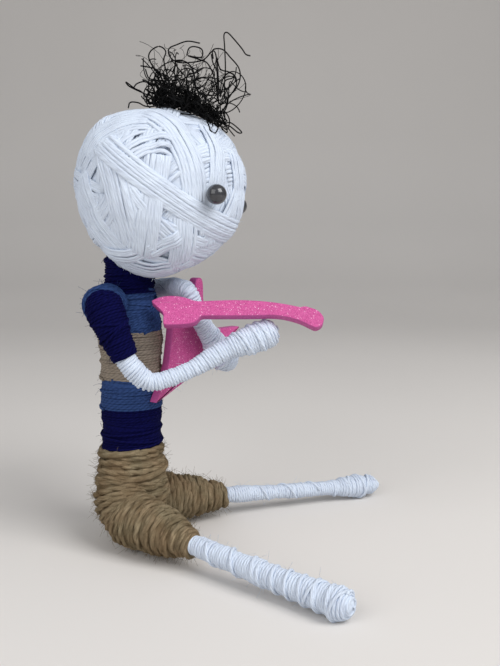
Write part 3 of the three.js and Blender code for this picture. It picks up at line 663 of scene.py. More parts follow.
HEAD_BANDS = (
    # Bands on the side that is seen, in the order they are laid: three points on each, to the
    # viewer's right and up in head radii, and the strands side by side
    ((-0.46, 0.33), (-0.19, 0.56), (0.18, 0.59), 8),
    ((-0.82, 0.38), (-0.54, 0.67), (-0.12, 0.79), 9),
    ((0.57, 0.72), (0.67, 0.38), (0.66, 0.04), 8),
    ((0.82, 0.50), (0.90, 0.10), (0.88, -0.33), 7),
    ((-0.54, 0.52), (-0.43, -0.05), (-0.31, -0.59), 10),
    ((-0.02, 0.32), (-0.12, -0.24), (-0.19, -0.66), 9),
    ((-0.86, 0.16), (-0.72, -0.28), (-0.43, -0.65), 8),
    ((-0.95, 0.02), (-0.69, -0.51), (-0.19, -0.87), 7),
    ((0.31, -0.28), (0.26, -0.59), (0.18, -0.90), 8),
    ((0.57, -0.40), (0.52, -0.64), (0.41, -0.85), 8),
    ((-0.36, -0.79), (0.03, -0.88), (0.34, -0.79), 7),
    ((-0.63, -0.65), (-0.31, -0.68), (0.17, -0.53), 6),
    ((-0.10, 0.88), (0.33, 0.45), (0.42, -0.10), 9),
    ((-0.59, 0.52), (0.03, 0.01), (0.91, -0.44), 9),
)
HEAD_SWELLS = (
    # Directions to the viewer's right, up and toward the viewer, and how far the head swells there
    ((-0.70, 0.71, 0.0), 1.2),
    ((0.0, 1.0, 0.0), -0.7),
    ((-1.0, -0.1, 0.0), -0.6),
    ((0.98, 0.2, 0.0), 0.7),
    ((0.87, -0.48, 0.0), 0.7),
    ((0.60, -0.80, 0.0), -1.2),
)
HEAD_SEED = 0
HEAD_FUZZ = (12, 1.3, 0.05)
# The yarn's outside past the head's radius, how fast a swell falls off, and the core's depth
HEAD_FULL = 0.1
SWELL_FALL = 8.0
HEAD_CORE_BELOW = 1.0
# Whole circles under the bands: how many, how far off the middle, and the range of strands
LOOSE_BANDS = 32
LOOSE_OFFSET = 0.62
LOOSE_STRANDS = (7, 12)
# A band: steps round a circle and at least, rise over what is below, fall to its edges, share of
# the rise that is left when pressed, and its overrun and dive at the ends
BAND_STEPS = 60
BAND_LEAST_STEPS = 18
BAND_RISE = 0.42
BAND_CROWN = 0.4
BAND_PRESSED = 0.48
BAND_OVERRUN = 0.16
BAND_DIVE = 1.5
BAND_DIVE_RATE = 9
BAND_SPOTS = 6000
# A strand: half sizes and sinking as shares of the cord, then unevenness along and out
STRAND_WIDTH = 0.8
STRAND_DEPTH = 0.36
STRAND_SUNK = 0.45
STRAND_WAVER = 0.02
STRAND_LIFT = 0.05
POLE_LIMIT = 0.97


def seen_direction(right, up, toward):
    """A direction in the viewer's axes, as one in the doll's."""
    return unit(right * HEAD_RIGHT + up * HEAD_UP + toward * HEAD_TOWARD)


def head_radius(out):
    """The head's radius in each direction: a ball with soft swells that fall off round their middles."""
    radius = np.full(out.shape[:-1], HEAD_RADIUS + HEAD_FULL)
    for direction, amount in HEAD_SWELLS:
        radius = radius + amount * np.exp(SWELL_FALL * (out @ seen_direction(*direction) - 1))
    return radius


def band_through(points, strands):
    """The circle on the unit ball through three seen points: its pole, its first direction, its
    offset along the pole and its arc, with a little more at both ends."""
    a, b, c = (seen_direction(r, u, math.sqrt(max(1 - r * r - u * u, 0))) for r, u in points)
    pole = unit(np.cross(b - a, c - b))
    offset = pole @ a
    side = unit(a - offset * pole)
    arc = math.atan2(c @ np.cross(pole, side), c @ side) % (2 * math.pi)
    side = math.cos(BAND_OVERRUN) * side - math.sin(BAND_OVERRUN) * np.cross(pole, side)
    return pole, side, offset, arc + 2 * BAND_OVERRUN, strands


def loose_band(rng):
    """A whole circle in a seeded direction."""
    pole = unit(rng.normal(size=3))
    side = unit(np.cross(pole, rng.normal(size=3)))
    offset = rng.uniform(-LOOSE_OFFSET, LOOSE_OFFSET)
    return pole, side, offset, math.tau, int(rng.integers(*LOOSE_STRANDS))


def shape_terms(out):
    """One, the coordinates and their products, for the slow part of a height over a ball."""
    x, y, z = np.moveaxis(out, -1, 0)
    return np.stack([np.ones_like(x), x, y, z, x * y, y * z, z * x, x * x, y * y], -1)


def lay_bands(bands, cord):
    """Heights of bands laid one on another on a ball. The surface's height is kept for directions
    spread evenly by the golden angle: a band rests on the highest of them under each of its steps,
    smoothed along its length, and leaves its own thickness there. Returns each band's heights, and
    the weights of the slow part of the whole surface."""
    k = np.arange(BAND_SPOTS) + 0.5
    level = 1 - 2 * k / BAND_SPOTS
    turn = k * math.pi * (3 - math.sqrt(5))
    ring = np.sqrt(1 - level**2)
    spread = np.stack([ring * np.cos(turn), ring * np.sin(turn), level], -1)
    height = np.zeros(BAND_SPOTS)
    kernel = np.exp(-np.linspace(-1.6, 1.6, 7) ** 2)
    kernel = kernel / kernel.sum()
    rises = []
    for pole, side, offset, arc, strands in bands:
        across = (spread @ pole - offset) * 2 * HEAD_RADIUS / (strands * cord)
        angle = np.arctan2(spread @ np.cross(pole, side), spread @ side) % (2 * math.pi)
        under = (np.abs(across) < 1) & (angle < arc)
        step = np.minimum(angle[under] / arc * BAND_STEPS, BAND_STEPS - 1).astype(int)
        floor = np.zeros(BAND_STEPS)
        np.maximum.at(floor, step, height[under])
        padded = np.pad(floor, len(kernel) // 2, mode="edge" if arc < math.tau else "wrap")
        rise = np.convolve(padded, kernel, "valid") + BAND_RISE
        height[under] = np.maximum(height[under], rise[step] - BAND_CROWN * across[under] ** 2)
        rises.append(rise)
    slow = np.linalg.lstsq(shape_terms(spread), height, rcond=None)[0]
    return rises, slow


class DOLL_OT_head(bpy.types.Operator):
    """Wind the head: bands of parallel yarn that cross in many directions."""

    bl_idname = "doll.head"
    bl_label = "Head yarn"

    def execute(self, context):
        rng = seeded(HEAD_SEED)
        cord = length("head_cotton")
        bands = [loose_band(rng) for _ in range(LOOSE_BANDS)]
        bands += [band_through(points, strands) for *points, strands in HEAD_BANDS]
        rises, slow = lay_bands(bands, cord)
        skin = Skin()
        skin.ball(HEAD_MIDDLE, HEAD_RADIUS - HEAD_CORE_BELOW)
        for band, rise in zip(bands, rises):
            path, out = self.strands(band, rise, slow, cord, rng)
            skin.strands(path, out, cord * STRAND_WIDTH, cord * STRAND_DEPTH, 6)
            skin.fibres(path.reshape(-1, 3), out.reshape(-1, 3), rng, *HEAD_FUZZ)
        piece = skin.build("head_winding", "head_cotton", "white_yarn")
        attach(piece, "head")
        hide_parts("head_ball", "head_yarn")
        return {"FINISHED"}

    def strands(self, band, rise, slow, cord, rng):
        """Parallel small circles round one pole, a cord apart, at the band's heights less a crown
        across it. The ends of a part circle dive below the surface. Returns the strands and their
        directions out."""
        pole, side, offset, arc, count = band
        third = np.cross(pole, side)
        t = np.linspace(0, 1, max(int(BAND_STEPS * (arc / math.tau)), BAND_LEAST_STEPS))
        angle = arc * t
        row = (np.arange(count) - (count - 1) / 2)[:, None]
        waver = np.stack([wobble(angle, rng, 3, 1.1) for _ in range(count)])
        level = offset + row * cord / HEAD_RADIUS + STRAND_WAVER * waver
        level = np.clip(level, -POLE_LIMIT, POLE_LIMIT)
        ring = np.cos(angle)[:, None] * side + np.sin(angle)[:, None] * third
        out = level[..., None] * pole + np.sqrt(1 - level**2)[..., None] * ring
        height = np.interp(t, (np.arange(BAND_STEPS) + 0.5) / BAND_STEPS, rise)
        height = height - BAND_CROWN * (row / (count / 2)) ** 2 - shape_terms(out) @ slow
        lift = STRAND_LIFT * np.stack([wobble(angle, rng, 3, 0.8) for _ in range(count)])
        radius = head_radius(out) - cord * STRAND_SUNK + BAND_PRESSED * height + lift
        if arc < math.tau:
            radius = radius - BAND_DIVE * np.clip(1 - np.minimum(t, 1 - t) * BAND_DIVE_RATE, 0, 1) ** 2
        return HEAD_MIDDLE + radius[..., None] * out, out


class DOLL_OT_eyes(bpy.types.Operator):
    """Set the pearl heads of the eye pins on the yarn."""

    bl_idname = "doll.eyes"
    bl_label = "Bead eyes"

    def execute(self, context):
        for side in SIDES:
            skin = Skin()
            skin.ball(node_middle(f"{side}_eye_bead"), length("bead") / 2)
            piece = skin.build(f"{side}_eye", "pearl_grey", "bead")
            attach(piece, "head")
            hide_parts(f"{side}_eye_bead")
        return {"FINISHED"}


# Hair

CURLS = (
    # Single curls: depth toward the viewer at both ends, then places to the viewer's right of the
    # head's middle and above it
    (1, 2, (13.4, 17.6), (13.3, 20.8), (13.2, 24.1), (13.1, 28.0), (13.1, 30.6), (13.8, 31.0),
     (15.1, 29.7), (16.6, 28.0), (17.2, 26.7), (18.1, 26.4)),
    (2, 3, (1.6, 19.4), (0.7, 22.3), (-0.7, 23.9), (-1.6, 25.7), (-1.1, 27.1), (0.5, 27.6),
     (1.7, 27.1), (1.3, 25.0), (2.2, 21.5), (2.6, 19.0)),
    (0, 4, (8.4, 29.1), (6.0, 29.2), (3.8, 28.6), (2.3, 27.6), (2.5, 26.2), (4.0, 25.2),
     (6.4, 25.0), (9.0, 25.6), (10.9, 27.1), (11.6, 24.5), (12.0, 19.4)),
    (3, 1, (5.7, 26.2), (6.2, 27.7), (7.2, 28.0), (8.6, 27.3), (8.7, 26.1), (7.6, 25.9),
     (6.0, 26.3), (8.6, 25.7), (9.8, 25.1), (10.9, 23.2), (11.6, 20.9), (11.8, 18.5)),
    (-1, 2, (4.8, 25.9), (6.0, 25.5), (7.0, 23.8), (7.4, 21.5), (7.2, 19.0)),
    (-2, 1, (9.4, 25.1), (7.6, 23.6), (6.2, 23.2), (5.7, 21.5), (6.4, 19.0)),
    (2, -2, (10.9, 25.9), (10.9, 27.6), (12.7, 27.6), (14.4, 26.5), (16.1, 24.6), (16.5, 22.7),
     (15.7, 20.7), (14.2, 19.2), (12.8, 17.6)),
    (-3, 0, (10.9, 27.6), (11.2, 25.9), (11.8, 23.9), (12.0, 21.5), (12.2, 17.6)),
    (3, 0, (11.6, 26.1), (12.4, 24.1), (14.0, 23.4), (15.5, 22.7), (15.5, 20.9), (13.8, 18.2)),
    (1, 3, (12.6, 19.4), (13.3, 21.8), (14.6, 22.3), (14.9, 23.0), (13.7, 23.2), (12.6, 21.6),
     (12.2, 18.5)),
    (4, 1, (-3.1, 23.8), (-1.9, 23.9), (0.0, 23.2), (0.9, 22.0), (2.0, 19.4)),
    (1, 3, (-2.3, 23.7), (-1.7, 22.2), (-0.4, 21.5), (1.2, 19.8)),
    (2, 0, (-1.5, 17.0), (-2.9, 19.2), (-4.5, 20.2), (-6.1, 21.3), (-5.5, 20.5), (-3.3, 19.7),
     (-1.1, 18.8), (1.0, 18.0)),
    (-2, 1, (-4.7, 20.4), (-4.1, 21.3), (-2.7, 21.6), (-1.1, 21.2), (0.0, 20.4), (1.0, 18.5)),
    (4, 2, (-5.7, 16.3), (-5.2, 17.0), (-3.7, 17.1), (-2.5, 16.7), (-1.1, 16.5), (0.6, 17.0)),
    (2, 2, (11.8, 14.5), (12.9, 13.7), (14.2, 13.7), (15.9, 12.8), (16.7, 12.0), (15.9, 11.9),
     (14.2, 13.0), (12.9, 13.6), (11.6, 14.8)),
    (5, 4, (12.4, 16.1), (13.3, 15.3), (13.9, 14.2), (13.8, 12.8), (13.3, 12.2), (12.7, 12.6),
     (13.3, 13.4), (12.2, 14.8)),
    (7, 7.5, (8.9, 14.3), (9.8, 12.8), (10.0, 11.9), (10.9, 11.4), (11.5, 12.3), (11.2, 13.0),
     (10.1, 14.1)),
    (5.5, 7, (-0.9, 16.9), (0.7, 15.9), (3.1, 15.2), (5.6, 14.8), (7.8, 14.8)),
)
HAIR_LAYERS = (
    # Share of the curls, share of the thread's thickness, then least and most root height, rise, ring
    # and loops, and steps along a curl: the pile, springs above it, wide loops and fine frizz
    (1.0, 1.0, (0.0, 1.0), (0.3, 2.8), (0.8, 1.9), (0.9, 1.8), 26),
    (0.35, 0.9, (0.5, 2.5), (2.0, 6.5), (1.2, 2.4), (0.9, 1.7), 28),
    (0.22, 0.9, (1.0, 3.0), (4.0, 9.0), (2.0, 3.2), (0.8, 1.2), 26),
    (0.5, 0.35, (1.0, 4.0), (3.0, 9.5), (0.8, 2.4), (0.6, 1.4), 20),
)
HAIR_SEED = 40
TUFT_LEAN = 19.0
TUFT_HALF_ANGLE = 21.0
TUFT_SIDEWAYS = 0.8
TUFT_FORWARD = 1.15
CURL_DRIFT = 1.3
CURL_CLEAR = 0.5
CURL_DEPTH = 0.8
CURL_STEPS = 70


def sprung_curls(rng, count, root, rise, ring, loops, steps):
    """Curls that spring from the crown: each rises along its own direction from the root's height,
    turning in loops of its own size and lean, and drifts to one side. The pairs are least and most."""
    lean = math.radians(TUFT_LEAN)
    crown = np.array([0, -math.sin(lean), math.cos(lean)])
    side = np.array([1.0, 0, 0])
    front = np.cross(side, crown)
    tilt = math.radians(TUFT_HALF_ANGLE) * np.sqrt(rng.uniform(0, 1, count))
    around = rng.uniform(0, 2 * np.pi, count)
    level = np.cos(around)[:, None] * side * TUFT_SIDEWAYS
    level = level + np.sin(around)[:, None] * front * TUFT_FORWARD
    out = unit(np.cos(tilt)[:, None] * crown + np.sin(tilt)[:, None] * level)[:, None]

    def draw(pair):
        return rng.uniform(*pair, (count, 1, 1))

    t = np.linspace(0, 1, steps)[None, :, None]
    axis = unit(rng.normal(size=(count, 1, 3)))
    second = unit(np.cross(axis, out))
    third = np.cross(axis, second)
    angle = 2 * np.pi * draw(loops) * t + draw(PHASES)
    path = HEAD_MIDDLE + out * (HEAD_RADIUS + draw(root) + draw(rise) * t)
    path = path + rng.normal(0, CURL_DRIFT, (count, 1, 3)) * t**1.5
    path = path + draw(ring) * np.clip(3 * t, 0.3, 1) * (np.cos(angle) * second + np.sin(angle) * third)
    height = np.linalg.norm(path - HEAD_MIDDLE, axis=-1, keepdims=True)
    path = HEAD_MIDDLE + (path - HEAD_MIDDLE) * np.maximum(HEAD_RADIUS + CURL_CLEAR, height) / height
    return path, np.broadcast_to(axis, path.shape)


class DOLL_OT_hair(bpy.types.Operator):
    """Plant the tuft of black curls."""

    bl_idname = "doll.hair"
    bl_label = "Curly hair"

    def execute(self, context):
        rng = seeded(HAIR_SEED)
        half = length("hair") / 2
        count = context.scene.doll_sizes.curls
        skin = Skin()
        for share, thread, *spread in HAIR_LAYERS:
            path, normal = sprung_curls(rng, int(count * share), *spread)
            skin.strands(path, normal, half * thread, half * thread, 3)
        for first, last, *places in CURLS:
            depth = np.linspace(first, last, len(places)) + CURL_DEPTH * rng.normal(size=len(places))
            points = [
                HEAD_MIDDLE + right * HEAD_RIGHT + up * HEAD_UP + toward * HEAD_TOWARD
                for (right, up), toward in zip(places, depth)
            ]
            route = Route(points, CURL_STEPS)
            skin.strands(route.points, route.first[None], half, half, 5)
        piece = skin.build("hair_curls", "black_thread", "hair")
        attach(piece, "head")
        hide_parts("hair_tuft")
        return {"FINISHED"}


# Clothes and limbs

COLLAR_CLEAR = 0.4


def under_head(path):
    """Keeps the collar's turns below the head's underside."""
    flat = path - HEAD_MIDDLE
    reach = np.maximum((HEAD_RADIUS + COLLAR_CLEAR) ** 2 - flat[:, 0] ** 2 - flat[:, 1] ** 2, 0)
    low = HEAD_MIDDLE[2] - np.sqrt(reach)
    return np.column_stack([path[:, :2], np.minimum(path[:, 2], low)])


class DOLL_OT_shirt(bpy.types.Operator):
    """Wind the shirt's bands round the torso, and the collar round the neck."""

    bl_idname = "doll.shirt"
    bl_label = "Striped shirt"

    def execute(self, context):
        level = ((0.0, 1.0, 2.9, 0.5), (0.0, 1.0, -3.3, 2.4))
        straps = tuple((0.0, 1.0, 15.0, 2.2 + 0.21 * k) for k in range(12))
        # Name, nodes, dye, lowest and highest place, radius at both, and crossings
        bands = (
            ("waist", ("waist_yarn", "torso_padding"), "navy", 19.4, 28.7, 6.3, 6.25, level),
            ("low_stripe", ("low_stripe_yarn",), "denim", 28.5, 34.9, 6.3, 6.35, level),
            ("middle_stripe", ("beige_stripe_yarn",), "beige", 34.7, 44.5, 6.4, 6.5, level),
            ("chest", ("chest_yarn",), "denim", 44.3, 53.2, 6.45, 5.2, level + straps),
            ("collar", ("collar_yarn",), "navy", 52.2, 60.6, 5.2, 4.9, level),
        )
        for k, (name, nodes, dye, low, high, wide, top, crossings) in enumerate(bands):
            route = Route([[0, 0, low], [0, 0, (low + high) / 2], [0, 0, high]])
            radius = profile([[0, wide], [1, top]])
            limit = under_head if name == "collar" else None
            skin = wound("shirt", k, route, radius, crossings, limit=limit)
            piece = skin.build(name, f"{dye}_wool", f"{dye}_yarn")
            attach(piece, "torso")
            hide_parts(*nodes)
        return {"FINISHED"}


class DOLL_OT_sleeves(bpy.types.Operator):
    """Wind the navy sleeves and the denim strap over the right shoulder."""

    bl_idname = "doll.sleeves"
    bl_label = "Sleeves"

    def execute(self, context):
        slanted = ((0.1, 0.95, 5.0, 0.4), (0.1, 0.9, -6.0, 2.6), (0.2, 0.95, 7.5, 4.0))
        right = from_shoulder(
            "right", (0.3, 0.6, 1.6), (0, 0, 0), (-0.9, -2.3, -5.3), (-0.7, -5.0, -11.5)
        )
        strap = [[-4.6, 2.7, 50.4], [-8.0, 3.0, 50.2], [-10.4, 3.1, 49.8]]
        left = from_shoulder(
            "left", (-6.0, 0.2, -0.8), (-1.5, 0.6, -0.2), (0.2, -1.6, 0.3), (0.4, -5.0, 1.0)
        )
        # Name, dye, route, radius, crossings, body and nodes
        pieces = (
            ("right_sleeve", "navy", right, profile([[0, 3.7], [0.3, 3.8], [1, 2.6]], 3.2, 0.6),
             slanted, "right_arm", ("right_sleeve_yarn", "right_sleeve_padding")),
            ("right_strap", "denim", strap, profile([[0, 4.1], [1, 3.9]], end=1.6),
             slanted[:1], "right_arm", ("right_shoulder_yarn",)),
            ("left_sleeve", "navy", left, profile([[0, 3.4], [0.5, 3.6], [1, 2.8]], end=0.7),
             slanted[:2], "torso", ("left_shoulder_yarn", "left_sleeve_padding")),
        )
        for k, (name, dye, places, radius, crossings, body, nodes) in enumerate(pieces):
            skin = wound("sleeves", k, Route(places), radius, crossings)
            piece = skin.build(name, f"{dye}_wool", f"{dye}_yarn")
            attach(piece, body)
            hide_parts(*nodes)
        return {"FINISHED"}


class DOLL_OT_arms(bpy.types.Operator):
    """Wind the white arms from the cuff to the rounded hand, bending at the elbow."""

    bl_idname = "doll.arms"
    bl_label = "White arms"

    def execute(self, context):
        swell = {
            "right": [[0, 2.2], [0.12, 2.2], [0.28, 1.85], [0.45, 1.75], [0.65, 2.1], [0.86, 3.0],
                      [1, 3.2]],
            "left": [[0, 2.2], [0.3, 2.0], [0.5, 1.85], [0.7, 2.0], [0.87, 2.9], [1, 3.0]],
        }
        crossings = ((0.74, 0.97, 3.4, 0.4), (0.78, 0.96, 4.4, 2.0))
        for k, side in enumerate(SIDES):
            route = Route(ARM_ROUTE[side])
            skin = wound("arms", k, route, profile(swell[side], end=3.0), crossings)
            piece = skin.build(f"{side}_arm_winding", "white_cotton", "white_yarn")
            parts = ("upper_arm_padding", "upper_arm_yarn", "forearm_padding", "forearm_yarn")
            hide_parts(*(f"{side}_{part}" for part in parts))
            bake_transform(piece)
        return {"FINISHED"}


class DOLL_OT_shorts(bpy.types.Operator):
    """Wind the jute shorts: level turns round the hips and turns that fan round to each thigh."""

    bl_idname = "doll.shorts"
    bl_label = "Jute shorts"

    def execute(self, context):
        hips = Route([[0, 0, 1.0], [0, 0, 8.0], [0, 0, 20.2]])
        radius = profile([[0, 5.2], [0.26, 7.0], [0.47, 7.7], [1, 6.9]], start=3.0)
        skin = wound("hips", 0, hips, radius, ((0.35, 1.0, 5.5, 2.0),))
        piece = skin.build("hip_winding", "jute_twine", "jute")
        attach(piece, "torso")
        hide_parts("hip_twine")
        for k, (side, sign) in enumerate(SIDES.items()):
            places = [[sign * 3.0, 1.4, 17.5], [sign * 4.2, 1.4, 12.0]]
            places += [leg_point(side, *place) for place in ((-1.2, 7.2), (6.0, 6.1), (HEM, 5.0))]
            radius = profile([[0, 4.6], [0.24, 5.7], [0.42, 6.0], [0.72, 4.9], [1, 2.9]])
            skin = wound("thighs", k, Route(places), radius)
            piece = skin.build(f"{side}_thigh_winding", "jute_twine", "jute")
            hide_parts(f"{side}_thigh_padding", f"{side}_thigh_twine")
            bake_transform(piece)
        return {"FINISHED"}


class DOLL_OT_legs(bpy.types.Operator):
    """Wind the white legs from inside the hem to the rounded foot."""

    bl_idname = "doll.legs"
    bl_label = "White legs"

    def execute(self, context):
        swell = {
            "right": [[0, 1.9], [0.12, 1.95], [0.3, 2.2], [0.33, 2.05], [0.48, 2.35], [0.52, 2.12],
                      [0.7, 2.4], [0.82, 2.6], [0.86, 2.4], [0.94, 2.95], [1, 2.9]],
            "left": [[0, 1.9], [0.15, 1.9], [0.35, 1.7], [0.65, 1.75], [0.8, 2.35], [0.86, 2.7],
                     [0.93, 2.3], [1, 1.8]],
        }
        crossings = {
            "right": ((0.16, 0.34, 6.0, 0.3), (0.34, 0.55, 5.0, 1.0), (0.34, 0.55, 5.0, 1.25),
                      (0.5, 0.97, 3.0, 0.4), (0.5, 0.97, 3.0, 0.75), (0.78, 0.96, -5.2, 2.0)),
            "left": ((0.25, 0.6, 7.0, 0.4), (0.7, 0.96, 4.0, 2.0), (0.78, 0.95, -5.2, 1.0)),
        }
        for k, side in enumerate(SIDES):
            reach = LEG_REACH[side]
            heights = ((14.5, 5.1), (18.5, 5.0), (reach * 0.65, 3.9), (reach + FOOT, FOOT - 0.1))
            route = Route([leg_point(side, *place) for place in heights])
            radius = profile(swell[side], end=2.7)
            skin = wound("legs", k, route, radius, crossings[side], proud=0.5)
            piece = skin.build(f"{side}_leg_winding", "white_cotton", "white_yarn")
            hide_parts(f"{side}_shin_padding", f"{side}_shin_yarn")
            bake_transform(piece)
        return {"FINISHED"}


# Guitar

NECK_BEFORE_END = 3.2
NECK_TURN = math.radians(10)
NECK_TILT = math.radians(30)
NECK_REST_LEAN = math.radians(20)
NECK_REST = 3.5
NECK_HALF_WIDTH = 1.6
NECK_OUTLINE = (
    # Distance past the hand, height across the strip, and rounding of each corner
    (-22.2, 1.55, 0.5), (-20.6, 2.4, 1.2), (-18.6, 2.75, 2.0), (-16.0, 2.55, 2.0), (-13.2, 1.5, 0.8),
    (-5.2, 1.85, 6.0), (0.2, 1.55, 4.0), (4.2, 0.95, 3.0), (7.4, 0.2, 0.5), (8.2, 0.5, 0.5),
    (10.8, -0.4, 0.8), (12.0, -2.0, 0.8), (11.6, -3.6, 0.6), (10.3, -4.3, 0.6), (9.4, -3.9, 0.8),
    (6.9, -2.5, 3.0), (2.8, -1.45, 4.0), (-2.5, -1.65, 5.0), (-12.3, -1.65, 0.7), (-12.8, -2.6, 0.8),
    (-13.9, -3.3, 1.0), (-16.3, -3.6, 1.0), (-19.6, -3.6, 0.6), (-19.6, -1.05, 0.6),
)
BODY_OUTLINE = (
    # Distance along the board, height from the shoulders, and rounding of each corner
    (-1.2, -21.3, 0.7), (14.2, -15.0, 9.0), (25.2, -7.6, 1.2), (15.0, -7.6, 1.2), (14.2, -4.6, 1.2),
    (13.0, -1.5, 1.5), (13.0, 3.7, 2.2), (10.9, 3.7, 0.8), (9.9, -1.5, 0.6), (4.2, -1.5, 0.6),
    (3.9, -6.5, 2.0), (2.4, -15.0, 2.5),
)
CORNER_STEPS = 7
CORNER_SHARE = 0.48
RIM_INSET = np.array([0.3, 0.16, 0.05, 0.0, 0.0, 0.05, 0.16, 0.3])
RIM_DEPTH = np.array([0.0, 0.0, 0.04, 0.16, 0.16, 0.04, 0.0, 0.0])
RIM_SHARE = np.array([0.0, 0.0, 1.0, 1.0, 1.0, 1.0, 0.0, 0.0])


def rounded_outline(corners):
    """A closed outline whose corners are quadratic curves: each starts and ends at the corner's own
    distance along its two sides, or just under half the side where that is less."""
    corners = np.array(corners, float)
    tip, rounding = corners[:, :2], corners[:, 2]
    ends = []
    for shift in (1, -1):
        side = np.roll(tip, shift, axis=0) - tip
        share = np.minimum(rounding / np.linalg.norm(side, axis=1), CORNER_SHARE)
        ends.append(tip + side * share[:, None])
    t = np.linspace(0, 1, CORNER_STEPS)[None, :, None]
    curve = (1 - t) ** 2 * ends[0][:, None] + 2 * t * (1 - t) * tip[:, None] + t**2 * ends[1][:, None]
    return curve.reshape(-1, 2)


def sheet_skin(corners, corner_place, along, up, face, thick):
    """A sheet cut to an outline: rows of the outline, drawn in by the rim's inset along its own normal
    and set at the rim's depth, from the back face to the front, with both faces closed. The second UV
    tells the cut edge from the faces."""
    outline = rounded_outline(corners)
    ahead = np.roll(outline, -1, axis=0)
    if np.sum(outline[:, 0] * ahead[:, 1] - ahead[:, 0] * outline[:, 1]) < 0:
        outline = outline[::-1]
    edge = np.roll(outline, -1, axis=0) - np.roll(outline, 1, axis=0)
    outward = unit(np.stack([edge[:, 1], -edge[:, 0]], -1))
    flat = outline - RIM_INSET[:, None, None] * outward
    depth = np.where(np.arange(len(RIM_DEPTH)) < len(RIM_DEPTH) // 2, RIM_DEPTH, thick - RIM_DEPTH)
    verts = corner_place + flat[..., :1] * along + flat[..., 1:] * up + depth[:, None, None] * face
    count = len(outline)
    index = np.arange(verts.size // 3).reshape(-1, count)
    nxt = np.roll(index, -1, axis=1)
    quads = np.stack([index[:-1], nxt[:-1], nxt[1:], index[1:]], -1).reshape(-1, 4)
    share = np.repeat(RIM_SHARE[:, None], count, 1)
    rim = np.stack([share[:-1], share[:-1], share[1:], share[1:]], -1).reshape(-1, 4)
    uvs = np.stack([np.zeros_like(rim), rim], -1)
    blank = np.zeros((1, count, 2))
    skin = Skin()
    skin.add(verts, quads, uvs, (index[:1, ::-1].copy(), blank), (index[-1:].copy(), blank))
    return skin


class DOLL_OT_guitar(bpy.types.Operator):
    """Cut the guitar's body and neck from glitter foam."""

    bl_idname = "doll.guitar"
    bl_label = "Foam guitar"

    def execute(self, context):
        thick = length("foam")
        along = np.array([math.sin(NECK_TURN), -math.cos(NECK_TURN), 0])
        level = np.cross(along, UP)
        face = math.cos(NECK_TILT) * level + math.sin(NECK_TILT) * UP
        across = np.cross(face, along)
        rest = math.sin(NECK_REST_LEAN) * level + math.cos(NECK_REST_LEAN) * UP
        arm = Route(ARM_ROUTE["right"])
        hand = arm.at(arm.length - NECK_BEFORE_END)[0]
        corner = hand + NECK_REST * rest + NECK_HALF_WIDTH * across
        boards = {
            "guitar_neck": (NECK_OUTLINE, corner, along, across, face),
            "guitar_body": (BODY_OUTLINE, board_point(0, -thick, 0), BOARD_ALONG, UP, BOARD_FACE),
        }
        for node, board in boards.items():
            piece = sheet_skin(*board, thick).build(f"{node}_foam", "glitter_foam", "foam")
            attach(piece, "torso")
            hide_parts(node)
        return {"FINISHED"}


class DOLL_OT_wires(bpy.types.Operator):
    """Give the armature and the pins their drawn steel."""

    bl_idname = "doll.wires"
    bl_label = "Wires and pins"

    def execute(self, context):
        for name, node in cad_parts.items():
            if name.endswith(("_wire", "_pin")):
                node.data.materials.clear()
                node.data.materials.append(finish_named("drawn_wire"))
        return {"FINISHED"}


# Stage, in metres

SKY = (0.95, 0.97, 1.0, 1.0)
SKY_STRENGTH = 0.38
LAMP_AIM = Vector((0.0, -0.015, 0.05))
LAMPS = (
    # Name, place, side and power
    ("key", (-0.20, -0.38, 0.42), 0.36, 2.5),
    ("fill", (-0.40, 0.20, 0.30), 0.40, 1.0),
)
SENSOR = 36.0
FOCAL_PIXELS = 800.0
PICTURE_HEIGHT = 666.0
FLOOR_DEPTH = np.array([-6.0, 0.42, 0.60, 0.72, 0.78, 0.80, 0.80])
FLOOR_RISE = np.array([0.0, 0.0, 0.02, 0.08, 0.18, 0.32, 1.2])
FLOOR_HALF_WIDTH = 6.0
FLOOR_AHEAD = np.array([0.985, 0.174, 0.0])


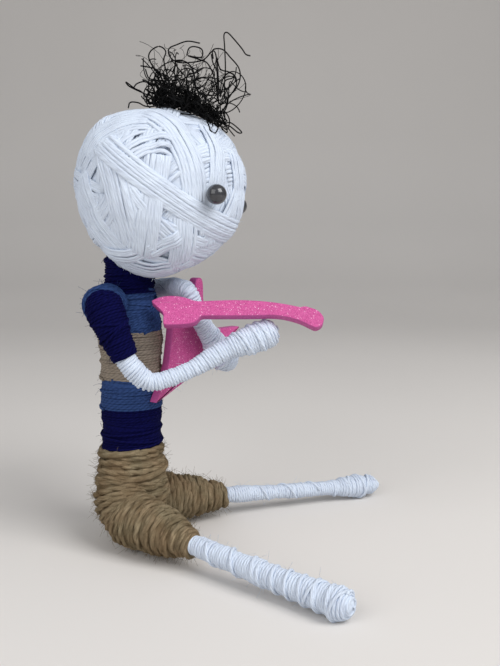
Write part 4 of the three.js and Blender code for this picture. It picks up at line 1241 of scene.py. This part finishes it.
class DOLL_OT_stage(bpy.types.Operator):
    """Lay a pale floor, soft lamps and the camera."""

    bl_idname = "doll.stage"
    bl_label = "Stage"

    def execute(self, context):
        scene = context.scene
        scene.view_settings.view_transform = "Standard"
        self.floor()
        world = bpy.data.worlds.new("studio")
        world.use_nodes = True
        sky = world.node_tree.nodes["Background"]
        sky.inputs["Color"].default_value = SKY
        sky.inputs["Strength"].default_value = SKY_STRENGTH
        scene.world = world
        for name, place, side, power in LAMPS:
            data = bpy.data.lights.new(name, "AREA")
            data.size = side
            data.energy = power
            self.aim(name, data, place, LAMP_AIM - Vector(place))
        data = bpy.data.cameras.new("camera")
        data.lens = SENSOR * FOCAL_PIXELS / PICTURE_HEIGHT
        data.sensor_width = SENSOR
        data.clip_start = 0.005
        scene.camera = self.aim("camera", data, metres(CAMERA_PLACE), Vector(CAMERA_AIM))
        return {"FINISHED"}

    def aim(self, name, data, place, direction):
        """An object at a place that looks in a direction."""
        made = bpy.data.objects.new(name, data)
        made.location = place
        made.rotation_mode = "QUATERNION"
        made.rotation_quaternion = direction.to_track_quat("-Z", "Y")
        bpy.context.scene.collection.objects.link(made)
        return made

    def floor(self):
        """A floor that curves up into a backdrop behind the doll: a bent profile carried sideways."""
        wide = np.linspace(-FLOOR_HALF_WIDTH, FLOOR_HALF_WIDTH, 9)[None, :, None]
        profile_line = FLOOR_DEPTH[:, None] * FLOOR_AHEAD + FLOOR_RISE[:, None] * UP
        grid = profile_line[:, None] + wide * np.cross(FLOOR_AHEAD, UP)
        index = np.arange(grid.size // 3).reshape(grid.shape[:2])
        corners = (index[:-1, :-1], index[1:, :-1], index[1:, 1:], index[:-1, 1:])
        quads = np.stack(corners, -1).reshape(-1, 4)
        skin = Skin()
        skin.add(grid / MM, quads[:, ::-1], np.zeros((len(quads), 4, 2)))
        skin.build("floor", "pale_floor", None)


OPERATORS = (
    DOLL_OT_head,
    DOLL_OT_eyes,
    DOLL_OT_hair,
    DOLL_OT_shirt,
    DOLL_OT_sleeves,
    DOLL_OT_arms,
    DOLL_OT_shorts,
    DOLL_OT_legs,
    DOLL_OT_guitar,
    DOLL_OT_wires,
    DOLL_OT_stage,
)


class DOLL_PT_sidebar(bpy.types.Panel):
    """The doll's sizes, colours and making steps."""

    bl_idname = "DOLL_PT_sidebar"
    bl_label = "String doll"
    bl_space_type = "VIEW_3D"
    bl_region_type = "UI"
    bl_category = "Doll"

    def draw(self, context):
        for group in (context.scene.doll_sizes, context.scene.doll_colours):
            box = self.layout.box()
            for key in group.__annotations__:
                box.prop(group, key)
        for operator in OPERATORS:
            self.layout.operator(operator.bl_idname)


CLASSES = (DollSizes, DollColours, *OPERATORS, DOLL_PT_sidebar)


def register():
    for cls in CLASSES:
        bpy.utils.register_class(cls)
    bpy.types.Scene.doll_sizes = PointerProperty(type=DollSizes)
    bpy.types.Scene.doll_colours = PointerProperty(type=DollColours)


def unregister():
    del bpy.types.Scene.doll_colours
    del bpy.types.Scene.doll_sizes
    for cls in reversed(CLASSES):
        bpy.utils.unregister_class(cls)


def main():
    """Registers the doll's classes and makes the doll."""
    register()
    bpy.ops.doll.head()
    bpy.ops.doll.eyes()
    bpy.ops.doll.hair()
    bpy.ops.doll.shirt()
    bpy.ops.doll.sleeves()
    bpy.ops.doll.arms()
    bpy.ops.doll.shorts()
    bpy.ops.doll.legs()
    bpy.ops.doll.guitar()
    bpy.ops.doll.wires()
    bpy.ops.doll.stage()


if __name__ == "__main__":
    main()
